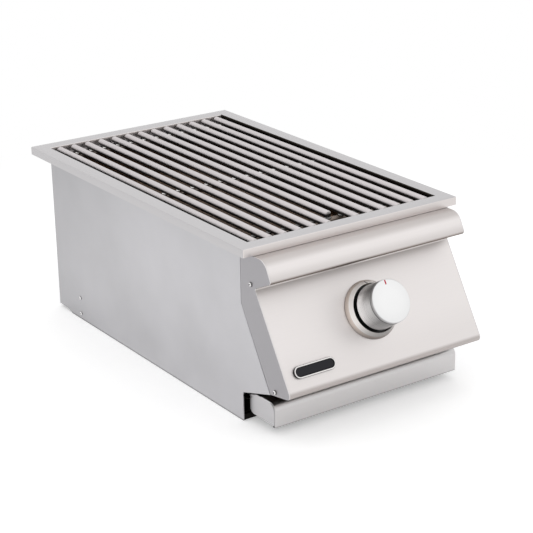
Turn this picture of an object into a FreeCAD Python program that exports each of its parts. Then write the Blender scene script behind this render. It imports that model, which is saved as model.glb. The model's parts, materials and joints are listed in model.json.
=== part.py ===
import FreeCAD, Part
import math
import os

Vector = FreeCAD.Vector

# Sizes in millimetres. While it is drawn, X = 0 is the middle, Y = 0 the front
# edge of the rim with +Y to the back, and Z = 0 the top of the rim.

# Sheet metal
sheet = 1.2                  # stainless sheet of the casing
seam = 0.4                   # open joint between two sheets in one plane
fit_gap = 0.3                # seat gap of pieces that rest or slide on each other
bend = 1.5                   # outer radius of a sharp fold

# Rim that lies on the counter
rim_side_overhang = 15.5     # past the casing's sides
rim_rear_overhang = 31.2
rim_depth = 551.5
rim_height = 11.0
rim_flange = 21.0            # width of the flat top all round
seat_hem = 8.0               # strip turned in at the sides and the rear, on the counter
skirt_drop = 0.6             # front skirt below the seat, over the nose
front_ledge = 15.5           # shelf under the front ends of the rods
rear_ledge = 13.5

# Cooking grate
rod_diameter = 9.5
rod_count = 13
rod_side_gap = 12.9          # from the rim to the outer rods' centres
rod_front_gap = 2.5          # from the rim to the rods' front ends
rod_rear_gap = 4.5
rod_end_bevel = 1.4
short_rod_cut = 31.5         # how far the middle rod stops behind the others
weld_sink = 0.05             # how deep the rods are pressed into each other
cross_rod_overhang = 4.2     # cross rods past the outer rods' centres
cross_rod_front = 35.5       # from the rim's inner front edge
cross_rod_middle = 249.0
cross_rod_rear = 19.0        # from the rim's inner rear edge

# Casing
casing_width = 308.0
casing_front = 29.6
casing_height = 243.0        # rim top to the underside of the floor
slot_height = 40.0           # open notch at the front beside the tray
heel_height = 4.5            # step up at the rear of the floor
heel_length = 23.3
heel_ramp = 16.0
floor_flange = 8.5
vent_length = 36.0
vent_height = 5.0
vent_pitch = 50.0
vent_count = 5
vent_row_pitch = 16.0
vent_drop = 52.0             # rim top to the upper row of vents

# Sloped control panel and its rounded nose
slope_angle = 31.3           # from the vertical
slope_top_y = -0.7
slope_top_z = -53.8
toe_height = 22.8            # foot of the slope above the tray's front
nose_reach = 38.3            # square to the slope
nose_sag = 4.2               # of the lip, down the slope
nose_angle = 61.5
nose_radius = 18.0
nose_lip_radius = 4.0
nose_drop = 1.0              # below the rim's seat
inner_bend = 2.0
foot_radius = 6.0
foot_depth = 35.4
foot_angle = 9.0

# Side cheeks of the control panel
cheek_shoulder_z = -81.5
cheek_heel_setback = 44.9    # behind the slope's foot
cheek_heel_drop = 7.6        # below the slope's foot
bracket_overlap = 12.0       # bracket behind the side panel
bracket_inset = 6.0          # bracket behind the front face
bracket_foot_gap = 1.5       # over the foot of the control panel
upper_screw_y = 7.3
upper_screw_z = -50.0
lower_screw_setback = 33.8
lower_screw_rise = -0.1
screw_head = 6.6
screw_head_height = 2.2
screw_shank = 4.0
screw_reach = 8.0
rivet_setback = 65.8         # in front of the casing's rear
upper_rivet_rise = 33.0      # above the casing's underside
lower_rivet_rise = 8.5
rivet_head = 6.0
rivet_head_height = 1.4
rivet_shank = 3.2

# Firebox
firebox_depth = 150.0        # rim top to the firebox floor
grease_slot_width = 120.0
grease_slot_margin = 54.0    # floor left at the front and the rear
grease_lip = 8.0

# Infrared burner
tile_width = 92.0
tile_length = 135.0
tile_thickness = 13.0
tile_columns = 2
tile_rows = 3
tile_joint = 2.0
tile_top = -58.0
tile_edge_gap = 1.0
tile_seat = 8.0
tile_frame_cover = 5.0
plenum_depth = 36.0
rail_width = 20.0
rail_leg = 7.0
rail_inset = 42.0            # from the ends of the plenum
diffuser_length = 90.0
diffuser_width = 60.0
diffuser_height = 11.0

# Venturi and air shutter
venturi_outer = 32.0
venturi_wall = 1.2
venturi_front = 20.0
air_window_length = 9.0
air_window_width = 16.0
air_window_start = 2.5       # behind the venturi's front face
shutter_wall = 1.2
shutter_length = 13.0
shutter_fit = 0.05
shutter_screw_shank = 3.0
shutter_screw_head = 6.0
shutter_screw_neck = 2.0     # between the sleeve and the screw's head
shutter_screw_thickness = 4.0
shutter_start = 0.8

# Knob, bezel and valve. Their heights are measured from the face of the slope.
knob_down_slope = 63.2       # from the top of the slope to the knob's centre
bezel_base = 77.0
bezel_shoulder = 72.0
bezel_bore = 64.6
bezel_shoulder_height = 6.5
bezel_height = 13.0
bezel_floor = 1.5
bezel_foot = 1.5
bezel_screw_spread = 26.0
knob_skirt = 60.0
knob_face = 56.5
knob_back = 15.5
knob_front = 49.0
knob_wall = 2.5
knob_edge = 1.4
knob_groove = 0.7
knob_groove_width = 1.2
knob_groove_drop = 6.0
hub_diameter = 15.0
hub_depth = 24.0
stem_diameter = 8.0
stem_flat = 1.5
push_travel = 3.0
valve_ear_width = 36.0
valve_ear_height = 16.0
valve_ear_thickness = 5.0
valve_neck_diameter = 20.0
valve_body_diameter = 24.0
valve_body_front = -9.0
valve_body_rear = -41.0
valve_bore = 14.0
inlet_height = -32.5
outlet_height = -38.5        # where the level outlet starts
plug_fit = 0.05
plug_front = -19.0
plug_rear = -36.0
plug_port = 4.0
plug_gas_bore = 6.0
tang_width = 2.4
tang_depth = 6.0
tang_relief = 0.6            # narrower than the stem at each side
collar_diameter = 13.0
collar_thickness = 2.0
spring_wire = 0.9
spring_diameter = 11.0
spring_turns = 4
spring_steps = 16

# Gas line
outlet_boss = 14.0
outlet_reach = 9.0
outlet_bore = 5.0
inlet_boss = 16.0
inlet_reach = 24.0
inlet_bore = 7.0
orifice_hex = 12.0
orifice_hex_length = 4.0
orifice_diameter = 10.0
orifice_nose = 8.0
orifice_bore = 1.6
pipe_diameter = 12.7
pipe_wall = 1.0
pipe_nut = 19.0
pipe_nut_length = 9.0
pipe_side_gap = 42.0         # from the casing's side to the pipe's middle
pipe_drop = 18.0             # below the firebox
pipe_bend = 18.0
flare_diameter = 15.9
flare_length = 14.0
flare_reach = 22.7           # past the rear panel
fitting_diameter = 18.0
fitting_hex = 24.0
fitting_hex_length = 9.0
fitting_bore = 8.0
nut_thickness = 6.0
clip_width = 14.0
clip_y = 300.0
clip_foot = 26.0

# Spark igniter
piezo_diameter = 12.0
piezo_rear = -40.0
electrode_x = -30.0
electrode_stand = 8.0        # in front of the plenum
electrode_diameter = 6.0
electrode_length = 32.0
electrode_top_drop = 8.0     # below the tiles' face
electrode_collar = 9.0
electrode_collar_height = 3.0
electrode_collar_drop = 18.0  # below the electrode's top
electrode_pin = 2.0
electrode_pin_rise = 5.0     # above the tiles' face
electrode_pin_reach = 11.0
electrode_plate_width = 20.0
electrode_plate_height = 20.0
wire_diameter = 3.0
wire_hole = 8.0
wire_lead = 10.0             # straight out of the igniter
wire_drop = 24.0             # hole in the wall, below the electrode
wire_rise = 5.0
wire_bends = [9.0, 24.0, 10.0]

# Badge, left blank
badge_length = 62.5
badge_height = 16.0
badge_side_gap = 46.4        # from the casing's side to the badge's middle
badge_up_slope = 31.0        # from the slope's foot
badge_thickness = 3.2
badge_border = 2.2
badge_recess = 0.8
badge_fit = 0.1

# Drip tray
tray_side_gap = 6.7          # from the casing's side to the tray front's
tray_setback = 44.4          # behind the slope's foot
tray_side_length = 55.5
tray_front_rise = 10.5       # above the casing's underside
tray_front_height = 33.0
tray_front_radius = 10.0
tray_front_flange = 30.0
tray_side_drop = 5.0
tray_side_slant = 16.0
tray_heel_radius = 8.0
tray_front_lip = 6.0
pan_rear_gap = 46.3          # to the casing's rear
pan_height = 21.0
pan_side_fit = 0.1           # to the tray front's side plates
pan_rise = 11.7              # above the casing's underside
pan_corner = 6.0
runner_shelf = 18.0
runner_height = 34.0
runner_rise = 4.0
runner_stop = 9.0

# Worked out from the sizes above
half_casing = casing_width / 2
half_rim = half_casing + rim_side_overhang
casing_rear = rim_depth - rim_rear_overhang
inner_face = half_casing - sheet
opening_half = half_rim - rim_flange
opening_front = rim_flange
opening_rear = rim_depth - rim_flange
rod_pitch = 2 * (opening_half - rod_side_gap) / (rod_count - 1)
ledge_top = -rod_diameter - fit_gap
ledge_bottom = ledge_top - sheet
firebox_front_y = opening_front + front_ledge
firebox_rear_y = opening_rear - rear_ledge
nose_top = -rim_height - nose_drop
plenum_bottom = tile_top - plenum_depth
mid_y = (firebox_front_y + firebox_rear_y) / 2
tiles_half_x = (tile_columns * tile_width + (tile_columns - 1) * tile_joint) / 2
tiles_half_y = (tile_rows * tile_length + (tile_rows - 1) * tile_joint) / 2
plenum_half_x = tiles_half_x + tile_edge_gap + sheet
plenum_half_y = tiles_half_y + tile_edge_gap + sheet
plenum_front_y = mid_y - plenum_half_y
slope = math.radians(slope_angle)
outward = Vector(0, -math.cos(slope), math.sin(slope))
down_slope = Vector(0, -math.sin(slope), -math.cos(slope))
slope_top = Vector(0, slope_top_y, slope_top_z)
tray_front_bottom = -casing_height + tray_front_rise
tray_front_top = tray_front_bottom + tray_front_height
toe_z = tray_front_top + toe_height
slope_length = (slope_top_z - toe_z) / math.cos(slope)
toe_y = slope_top_y - slope_length * math.sin(slope)
cheek_heel_y, cheek_heel_z = toe_y + cheek_heel_setback, toe_z - cheek_heel_drop
lower_screw_y, lower_screw_z = toe_y + lower_screw_setback, toe_z + lower_screw_rise
rivet_y = casing_rear - rivet_setback
upper_rivet_z = -casing_height + upper_rivet_rise
lower_rivet_z = -casing_height + lower_rivet_rise
badge_x = -half_casing + badge_side_gap
badge_down_slope = slope_length - badge_up_slope
tray_half = half_casing - tray_side_gap
tray_front_y = toe_y + tray_setback
tray_front_back = tray_front_y + tray_side_length
pan_rear = casing_rear - pan_rear_gap
pan_bottom = -casing_height + pan_rise
runner_bottom = -casing_height + runner_rise
runner_top = runner_bottom + runner_height
pipe_x = half_casing - pipe_side_gap
pipe_z = -firebox_depth - pipe_drop
flare_end_y = casing_rear + flare_reach
electrode_top = tile_top - electrode_top_drop
electrode_bottom = electrode_top - electrode_length
electrode_collar_z = electrode_top - electrode_collar_drop
electrode_pin_top = tile_top + electrode_pin_rise
knob_centre = slope_top + down_slope * knob_down_slope
inlet_start = knob_centre + outward * inlet_height
outlet_start = knob_centre + outward * outlet_height
venturi_z = outlet_start.z
pan_half = tray_half - sheet - pan_side_fit
pan_rim = inner_face - sheet - fit_gap - pan_half
seat_origin = Vector(0, rim_depth - seat_hem / 2, -rim_height)


def box(x0, x1, y0, y1, z0, z1):
    corner = Vector(min(x0, x1), min(y0, y1), min(z0, z1))
    return Part.makeBox(abs(x1 - x0), abs(y1 - y0), abs(z1 - z0), corner)


def cylinder(diameter, start, end):
    axis = end - start
    return Part.makeCylinder(diameter / 2, axis.Length, start, axis)


def in_side_view(a, b):
    return Vector(0, a, b)


def in_plan(a, b):
    return Vector(a, b, 0)


def corner_cut(previous, corner, following, radius):
    """Both ends and the middle of the arc that rounds a corner."""
    back = (previous - corner).normalize()
    ahead = (following - corner).normalize()
    half = back.getAngle(ahead) / 2
    reach = radius / math.tan(half)
    middle = (back + ahead).normalize()
    centre = corner + middle * (radius / math.sin(half))
    return corner + back * reach, centre - middle * radius, corner + ahead * reach


def edge_chain(points, radii, closed):
    """Straight and round edges through the points, rounded where a radius is given."""
    count = len(points)
    starts, ends, edges = list(points), list(points), []
    for i, radius in enumerate(radii):
        if radius:
            start, middle, end = corner_cut(points[i - 1], points[i], points[(i + 1) % count], radius)
            edges.append((i, Part.Arc(start, middle, end).toShape()))
            starts[i], ends[i] = start, end
    chain = []
    rounds = dict(edges)
    for i in range(count):
        if i in rounds:
            chain.append(rounds[i])
        following = (i + 1) % count
        if closed or following:
            chain.append(Part.LineSegment(ends[i], starts[following]).toShape())
    return chain


def outline_face(corners, radii, place):
    points = [place(a, b) for a, b in corners]
    return Part.Face(Part.Wire(edge_chain(points, radii, True)))


def side_plate(corners, x0, x1, radii=None):
    """Flat plate whose outline is given as (y, z) corners, from x0 to x1."""
    face = outline_face(corners, radii or [0] * len(corners), in_side_view)
    plate = face.extrude(Vector(x1 - x0, 0, 0))
    plate.translate(Vector(x0, 0, 0))
    return plate


def shifted_path(corners, radii, distance):
    """The same path moved to its left by a distance, with its bends' radii."""
    lines = []
    for (a0, b0), (a1, b1) in zip(corners, corners[1:]):
        length = math.hypot(a1 - a0, b1 - b0)
        ux, uy = (a1 - a0) / length, (b1 - b0) / length
        lines.append((a0 - uy * distance, b0 + ux * distance, ux, uy))
    last = corners[-1]
    moved, moved_radii = [(lines[0][0], lines[0][1])], [0]
    for (pa, pb, ua, ub), (qa, qb, va, vb), radius in zip(lines, lines[1:], radii[1:]):
        turn = ua * vb - ub * va
        along = ((qa - pa) * vb - (qb - pb) * va) / turn
        moved.append((pa + ua * along, pb + ub * along))
        moved_radii.append(radius - distance * math.copysign(1, turn) if radius else 0)
    _, _, ux, uy = lines[-1]
    moved.append((last[0] - uy * distance, last[1] + ux * distance))
    moved_radii.append(0)
    return moved, moved_radii


def folded_sheet(corners, radii, thickness, x0, x1):
    """Sheet bent along a (y, z) path, with its thickness to the left of the path."""
    inner, inner_radii = shifted_path(corners, radii, thickness)
    around = list(corners) + inner[::-1]
    around_radii = list(radii) + inner_radii[::-1]
    return side_plate(around, x0, x1, around_radii)


def mirrored(shape):
    return shape.mirror(Vector(0, 0, 0), Vector(1, 0, 0))


def on_slope(shape, x=0.0, down=knob_down_slope):
    """Stand a piece drawn about +Z on the slope: Z outward, Y up the slope."""
    rotation = FreeCAD.Rotation(Vector(1, 0, 0), 90 - slope_angle)
    place = slope_top + down_slope * down + Vector(x, 0, 0)
    moved = shape.copy()
    moved.Placement = FreeCAD.Placement(place, rotation).multiply(moved.Placement)
    return moved


def turned(profile, radii=None):
    """Solid of revolution about Z from (radius, height) corners."""
    points = [Vector(r, 0, h) for r, h in profile]
    wire = Part.Wire(edge_chain(points, radii or [0] * len(points), True))
    return Part.Face(wire).revolve(Vector(0, 0, 0), Vector(0, 0, 1), 360)


def hexagon(across_flats, start, end):
    axis = end - start
    radius = across_flats / math.sqrt(3)
    points = []
    for i in range(7):
        angle = math.radians(60 * i)
        points.append(Vector(radius * math.cos(angle), radius * math.sin(angle), 0))
    prism = Part.Face(Part.makePolygon(points)).extrude(Vector(0, 0, axis.Length))
    prism.Placement = FreeCAD.Placement(start, FreeCAD.Rotation(Vector(0, 0, 1), axis))
    return prism


def slot_prism(length, height, thickness, bottom=0.0):
    """Plate with round ends in the plan, standing on Z = bottom."""
    half, radius = length / 2, height / 2
    corners = [(-half, -radius), (half, -radius), (half, radius), (-half, radius)]
    face = outline_face(corners, [radius * 0.999] * 4, in_plan)
    plate = face.extrude(Vector(0, 0, thickness))
    plate.translate(Vector(0, 0, bottom))
    return plate


def tube_along(points, radius, diameter):
    """Round bar of a given diameter along straight runs joined by arcs."""
    inner = [radius] * (len(points) - 2) if isinstance(radius, float) else radius
    wire = Part.Wire(edge_chain(points, [0] + inner + [0], False))
    ring = Part.Wire(Part.makeCircle(diameter / 2, points[0], points[1] - points[0]))
    return wire.makePipeShell([ring], True, False)


def slope_point(reach_out, down):
    point = slope_top + outward * reach_out + down_slope * down
    return point.y, point.z


def nose_path(inset):
    """Front profile from the back of the nose's top to the end of the foot, moved inwards."""
    lip_y, lip_z = slope_point(nose_reach, nose_sag)
    climb = math.radians(nose_angle)
    brow_y = lip_y + (nose_top - lip_z) / math.tan(climb)
    fall = math.radians(foot_angle)
    corners = [
        (casing_front - seam, nose_top),
        (brow_y, nose_top),
        (lip_y, lip_z),
        slope_point(0, 0),
        (toe_y, toe_z),
        (toe_y + foot_depth * math.cos(fall), toe_z - foot_depth * math.sin(fall)),
    ]
    radii = [0, nose_radius, nose_lip_radius, inner_bend, foot_radius, 0]
    return shifted_path(corners, radii, inset) if inset else (corners, radii)


# Rim and grate

def rim_frame():
    body = box(-half_rim, half_rim, 0, rim_depth, -rim_height, 0)
    outer_edges = [e for e in body.Edges
                   if e.BoundBox.ZMin > -rim_height / 2 or e.BoundBox.ZLength > rim_height / 2]
    body = body.makeFillet(bend, outer_edges)
    hollow = box(-half_rim + sheet, half_rim - sheet, sheet, rim_depth - sheet, -rim_height + sheet, -sheet)
    seat_inside = box(-half_rim + seat_hem, half_rim - seat_hem, sheet, rim_depth - seat_hem,
                      -rim_height - sheet, -rim_height / 2)
    well = box(-opening_half - sheet, opening_half + sheet, opening_front - sheet, opening_rear + sheet,
               ledge_bottom, -sheet / 2)
    opening = box(-opening_half, opening_half, opening_front, opening_rear, ledge_top, rim_height)
    fire = box(-opening_half, opening_half, firebox_front_y, firebox_rear_y, ledge_bottom - sheet, rim_height)
    skirt = box(-half_casing, half_casing, 0, sheet, -rim_height - skirt_drop, -rim_height + sheet)
    return body.cut(hollow).cut(seat_inside).fuse([well, skirt]).cut(opening).cut(fire).removeSplitter()


def rod_places():
    return [(i - (rod_count - 1) / 2) * rod_pitch for i in range(rod_count)]


def bevelled_bar(diameter, start, end, bevel):
    bar = cylinder(diameter, start, end)
    return bar.makeChamfer(bevel, [e for e in bar.Edges if e.Closed])


def grate_rods():
    rear = opening_rear - rod_rear_gap
    front = opening_front + rod_front_gap
    rods = []
    for x in rod_places():
        start = front + (short_rod_cut if x == 0 else 0)
        axis_z = -rod_diameter / 2
        rod = bevelled_bar(rod_diameter, Vector(x, start, axis_z), Vector(x, rear, axis_z), rod_end_bevel)
        rods.append(rod)
    return Part.makeCompound(rods)


def cross_rods():
    half = rod_places()[-1] + cross_rod_overhang
    rows = (opening_front + cross_rod_front, opening_front + cross_rod_middle, opening_rear - cross_rod_rear)
    z = -1.5 * rod_diameter + weld_sink
    return Part.makeCompound([
        bevelled_bar(rod_diameter, Vector(-half, y, z), Vector(half, y, z), rod_end_bevel / 2) for y in rows])


# Casing

def side_panel():
    floor = -casing_height
    slot_top = floor + slot_height
    heel_z = floor + heel_height
    ramp_y = casing_rear - heel_length
    corners = [
        (casing_rear, -sheet), (casing_rear, heel_z), (ramp_y, heel_z), (ramp_y - heel_ramp, floor),
        (casing_front, floor), (casing_front, slot_top), (cheek_heel_y, cheek_heel_z),
        (casing_front, cheek_shoulder_z), (casing_front, -sheet),
    ]
    plate = side_plate(corners, -half_casing, -inner_face)
    holes = [cylinder(rivet_shank, Vector(-half_casing - 1, rivet_y, z), Vector(0, rivet_y, z))
             for z in (upper_rivet_z, lower_rivet_z)]
    return plate.cut(holes)


def foot_height(y):
    """Underside of the control panel's foot at a given y."""
    return toe_z - math.tan(math.radians(foot_angle)) * (y - toe_y)


def cheek():
    """End plate of the nose and the slope, in the plane of the side panel."""
    front, radii = nose_path(0)
    back_y = cheek_heel_y - seam
    front[-1] = (back_y, foot_height(back_y))
    back = [(back_y, foot_height(back_y) + seam), (casing_front - seam, cheek_shoulder_z - seam / 2)]
    plate = side_plate(front + back, -half_casing, -inner_face, radii + [0, 0])
    return plate.cut(cheek_screw_holes())


def cheek_screw_holes():
    return [cylinder(screw_shank, Vector(-half_casing - 1, y, z), Vector(-inner_face + screw_reach, y, z))
            for y, z in ((upper_screw_y, upper_screw_z), (lower_screw_y, lower_screw_z))]


def front_bracket():
    """Plate behind the cheek's back edge that ties cheek, nose and side panel."""
    top = nose_top - sheet
    inset = -sheet - bracket_inset
    face_y, face_z = slope_point(inset, bracket_inset)
    foot_y, _ = slope_point(inset, slope_length)
    rise = sheet + bracket_foot_gap
    corners = [
        (casing_front + bracket_overlap, top), (face_y, top), (face_y, face_z),
        (foot_y, foot_height(foot_y) + rise), (cheek_heel_y, foot_height(cheek_heel_y) + rise),
        (casing_front + bracket_overlap, cheek_shoulder_z),
    ]
    plate = side_plate(corners, -inner_face, -inner_face + sheet)
    return plate.cut(cheek_screw_holes())


def control_panel():
    corners, radii = nose_path(0)
    panel = folded_sheet(corners, radii, sheet, -inner_face, inner_face)
    stem_hole = cylinder(valve_neck_diameter, Vector(0, 0, -10), Vector(0, 0, 10))
    screws = [cylinder(screw_shank, Vector(x, 0, -10), Vector(x, 0, 10))
              for x in (-bezel_screw_spread / 2, bezel_screw_spread / 2)]
    return panel.cut([on_slope(hole) for hole in [stem_hole] + screws])


def rear_panel():
    bottom = -casing_height + heel_height + sheet
    panel = box(-inner_face, inner_face, casing_rear - sheet, casing_rear, bottom, ledge_bottom)
    cuts = []
    for row in range(2):
        for i in range(vent_count):
            vent = slot_prism(vent_length, vent_height, 4 * sheet, -2 * sheet)
            vent.rotate(Vector(0, 0, 0), Vector(1, 0, 0), 90)
            x = (i - (vent_count - 1) / 2) * vent_pitch
            vent.translate(Vector(x, casing_rear - sheet / 2, -vent_drop - row * vent_row_pitch))
            cuts.append(vent)
    gas = cylinder(fitting_diameter + 2 * badge_fit, Vector(pipe_x, casing_rear - 10, pipe_z),
                   Vector(pipe_x, casing_rear + 10, pipe_z))
    return panel.cut(cuts + [gas])


def floor_panel():
    floor = -casing_height
    ramp_y = casing_rear - heel_length
    path = [
        (casing_front, floor + floor_flange), (casing_front, floor), (ramp_y - heel_ramp, floor),
        (ramp_y, floor + heel_height), (casing_rear, floor + heel_height),
    ]
    return folded_sheet(path, [0, inner_bend, 0, 0, 0], sheet, -inner_face, inner_face)


def cheek_screws():
    screws = []
    for y, z in ((upper_screw_y, upper_screw_z), (lower_screw_y, lower_screw_z)):
        screws.append(side_pin(y, z, screw_head, screw_head_height, screw_shank, screw_reach))
    return Part.makeCompound(screws + [mirrored(s) for s in screws])


def side_rivets():
    rivets = []
    for z in (upper_rivet_z, lower_rivet_z):
        rivets.append(side_pin(rivet_y, z, rivet_head, rivet_head_height, rivet_shank, 2 * sheet))
    return Part.makeCompound(rivets + [mirrored(r) for r in rivets])


def headed_pin(head, head_height, shank, reach):
    """Screw or rivet about +Z: its head stands on Z = 0 and narrows to the top."""
    crown = Part.makeCone(head / 2, head / 3, head_height, Vector(0, 0, 0))
    return crown.fuse(Part.makeCylinder(shank / 2, reach, Vector(0, 0, -reach))).removeSplitter()


def side_pin(y, z, head, head_height, shank, reach):
    """Screw or rivet through the left side, its head outside."""
    pin = headed_pin(head, head_height, shank, reach)
    pin.rotate(Vector(0, 0, 0), Vector(0, 1, 0), -90)
    pin.translate(Vector(-half_casing, y, z))
    return pin


# Firebox

def firebox_front():
    wall = box(-opening_half - sheet, opening_half + sheet, firebox_front_y - sheet, firebox_front_y,
               -firebox_depth, ledge_bottom)
    tube = cylinder(venturi_outer + 4 * fit_gap, Vector(0, 0, venturi_z), Vector(0, mid_y, venturi_z))
    crossing = wire_route()[2]
    wire = cylinder(wire_hole, Vector(crossing.x, 0, crossing.z), Vector(crossing.x, mid_y, crossing.z))
    return wall.cut([tube, wire])


def firebox_rear():
    return box(-opening_half - sheet, opening_half + sheet, firebox_rear_y, firebox_rear_y + sheet,
               -firebox_depth, ledge_bottom)


def firebox_side():
    return box(-opening_half - sheet, -opening_half, firebox_front_y, firebox_rear_y,
               -firebox_depth, ledge_bottom)


def firebox_floor():
    top = -firebox_depth
    front, rear = firebox_front_y - sheet, firebox_rear_y + sheet
    half = grease_slot_width / 2
    near, far = front + grease_slot_margin, rear - grease_slot_margin
    plate = box(-opening_half - sheet, opening_half + sheet, front, rear, top - sheet, top)
    lips = box(-half - sheet, half + sheet, near - sheet, far + sheet, top - grease_lip, top - sheet / 2)
    slot = box(-half, half, near, far, top - 2 * grease_lip, top + grease_lip)
    return plate.fuse(lips).cut(slot).removeSplitter()


# Infrared burner

def burner_plenum():
    outer = box(-plenum_half_x, plenum_half_x, mid_y - plenum_half_y, mid_y + plenum_half_y,
                plenum_bottom, tile_top)
    inner_x, inner_y = plenum_half_x - sheet, plenum_half_y - sheet
    well = box(-inner_x, inner_x, mid_y - inner_y, mid_y + inner_y, plenum_bottom + sheet, tile_top + 1)
    seat_x, seat_y = inner_x - tile_seat, inner_y - tile_seat
    seat_top = tile_top - tile_thickness
    seat = box(-inner_x - sheet / 2, inner_x + sheet / 2, mid_y - inner_y - sheet / 2,
               mid_y + inner_y + sheet / 2, seat_top - sheet, seat_top)
    seat = seat.cut(box(-seat_x, seat_x, mid_y - seat_y, mid_y + seat_y, seat_top - 2 * sheet, seat_top + 1))
    mouth_y = venturi_path()[-1].y
    mouth = cylinder(venturi_outer - 2 * venturi_wall, Vector(0, mouth_y, plenum_bottom - 1),
                     Vector(0, mouth_y, plenum_bottom + 2 * sheet))
    return outer.cut(well).fuse(seat).cut(mouth).removeSplitter()


def ceramic_tile(column, row):
    x = -tiles_half_x + column * (tile_width + tile_joint)
    y = mid_y - tiles_half_y + row * (tile_length + tile_joint)
    return box(x, x + tile_width, y, y + tile_length, tile_top - tile_thickness, tile_top)


def tile_frame():
    cover_x, cover_y = tiles_half_x - tile_frame_cover, tiles_half_y - tile_frame_cover
    plate = box(-plenum_half_x, plenum_half_x, mid_y - plenum_half_y, mid_y + plenum_half_y,
                tile_top, tile_top + sheet)
    window = box(-cover_x, cover_x, mid_y - cover_y, mid_y + cover_y, tile_top - 1, tile_top + 2 * sheet)
    return plate.cut(window)


def burner_rail(y):
    half = rail_width / 2
    path = [(y - half, plenum_bottom - sheet - rail_leg), (y - half, plenum_bottom),
            (y + half, plenum_bottom), (y + half, plenum_bottom - sheet - rail_leg)]
    return folded_sheet(path[::-1], [0, bend, bend, 0], sheet, -opening_half, opening_half)


def diffuser_plate():
    seat = plenum_bottom + sheet
    middle = venturi_path()[-1].y
    near, far = middle - diffuser_length / 2, middle + diffuser_length / 2
    top = seat + diffuser_height
    path = [(far, seat), (far, top), (near, top), (near, seat)]
    return folded_sheet(path, [0, bend, bend, 0], sheet, -diffuser_width / 2, diffuser_width / 2)


# Venturi and air shutter

def venturi_path():
    rise = plenum_bottom - venturi_z
    turn_y = mid_y - rise
    return [Vector(0, venturi_front, venturi_z), Vector(0, turn_y, venturi_z),
            Vector(0, turn_y + rise, plenum_bottom)]


def venturi_bar(diameter, start_y):
    """Round bar along the straight run and the quarter turn up into the plenum."""
    start, turn, end = venturi_path()
    rise = end.z - turn.z
    first = Vector(0, start_y, start.z)
    swing = math.radians(45)
    middle = Vector(0, turn.y + rise * math.sin(swing), turn.z + rise * (1 - math.cos(swing)))
    run = Part.LineSegment(first, turn).toShape()
    elbow = Part.Arc(turn, middle, end).toShape()
    ring = Part.Wire(Part.makeCircle(diameter / 2, first, Vector(0, 1, 0)))
    return Part.Wire([run, elbow]).makePipeShell([ring], True, False)


def air_windows():
    half = air_window_width / 2
    near = venturi_front + air_window_start
    far = near + air_window_length
    return box(-venturi_outer, venturi_outer, near, far, venturi_z - half, venturi_z + half)


def venturi_tube():
    tube = venturi_bar(venturi_outer, venturi_front)
    tube = tube.cut(venturi_bar(venturi_outer - 2 * venturi_wall, venturi_front + venturi_wall))
    nose = cylinder(orifice_diameter + 2 * shutter_fit, Vector(0, venturi_front - 5, venturi_z),
                    Vector(0, venturi_front + 5, venturi_z))
    return tube.cut([nose, air_windows()])


def air_shutter():
    near = venturi_front + shutter_start
    far = near + shutter_length
    bore = venturi_outer + 2 * shutter_fit
    sleeve = cylinder(bore + 2 * shutter_wall, Vector(0, near, venturi_z), Vector(0, far, venturi_z))
    hollow = cylinder(bore, Vector(0, near - 1, venturi_z), Vector(0, far + 1, venturi_z))
    shank = cylinder(shutter_screw_shank, screw_foot(), screw_foot() + Vector(0, 0, venturi_outer))
    return sleeve.cut([hollow, air_windows(), shank])


def screw_foot():
    """Point on top of the venturi where the shutter's screw presses."""
    return Vector(0, venturi_front + shutter_start + shutter_length / 2, venturi_z + venturi_outer / 2)


def shutter_screw():
    foot = screw_foot() + Vector(0, 0, shutter_fit)
    neck = foot + Vector(0, 0, shutter_wall + shutter_screw_neck)
    top = neck + Vector(0, 0, shutter_screw_thickness)
    return cylinder(shutter_screw_shank, foot, neck).fuse(cylinder(shutter_screw_head, neck, top))


# Knob, bezel and valve, drawn about +Z with the face of the slope at Z = 0

def bezel():
    base, shoulder, bore = bezel_base / 2, bezel_shoulder / 2, bezel_bore / 2
    neck = valve_neck_diameter / 2
    ring = turned([(neck, 0), (base, 0), (base, bezel_foot), (shoulder, bezel_shoulder_height),
                   (bore, bezel_height), (bore, bezel_floor), (neck, bezel_floor)])
    holes = [cylinder(screw_shank, Vector(x, 0, -1), Vector(x, 0, 10))
             for x in (-bezel_screw_spread / 2, bezel_screw_spread / 2)]
    return on_slope(ring.cut(holes))


def bezel_screws():
    screws = []
    reach = bezel_floor + sheet + valve_ear_thickness
    for x in (-bezel_screw_spread / 2, bezel_screw_spread / 2):
        screw = headed_pin(screw_head, screw_head_height, screw_shank, reach)
        screw.translate(Vector(x, 0, bezel_floor))
        screws.append(on_slope(screw))
    return Part.makeCompound(screws)


def d_shaft(bottom, top):
    shaft = Part.makeCylinder(stem_diameter / 2, top - bottom, Vector(0, 0, bottom))
    flat_y = stem_diameter / 2 - stem_flat
    return shaft.cut(box(-stem_diameter, stem_diameter, flat_y, stem_diameter, bottom, top))


def knob():
    skirt, face = knob_skirt / 2, knob_face / 2
    ceiling = knob_front - 2 * knob_wall
    groove = knob_front - knob_groove_drop
    waist = skirt - (skirt - face) * (groove - knob_back) / (knob_front - knob_back)
    shell = turned([(0, ceiling), (face - knob_wall, ceiling), (skirt - knob_wall, knob_back),
                    (skirt, knob_back), (waist, groove), (waist - knob_groove, groove),
                    (waist - knob_groove, groove + knob_groove_width), (waist, groove + knob_groove_width),
                    (face, knob_front - knob_edge), (face - knob_edge, knob_front), (0, knob_front)])
    hub = Part.makeCylinder(hub_diameter / 2, hub_depth + knob_wall / 2, Vector(0, 0, ceiling - hub_depth))
    stem_end = ceiling - knob_wall
    return on_slope(shell.fuse(hub).cut(d_shaft(ceiling - hub_depth - 1, stem_end)).removeSplitter())


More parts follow.
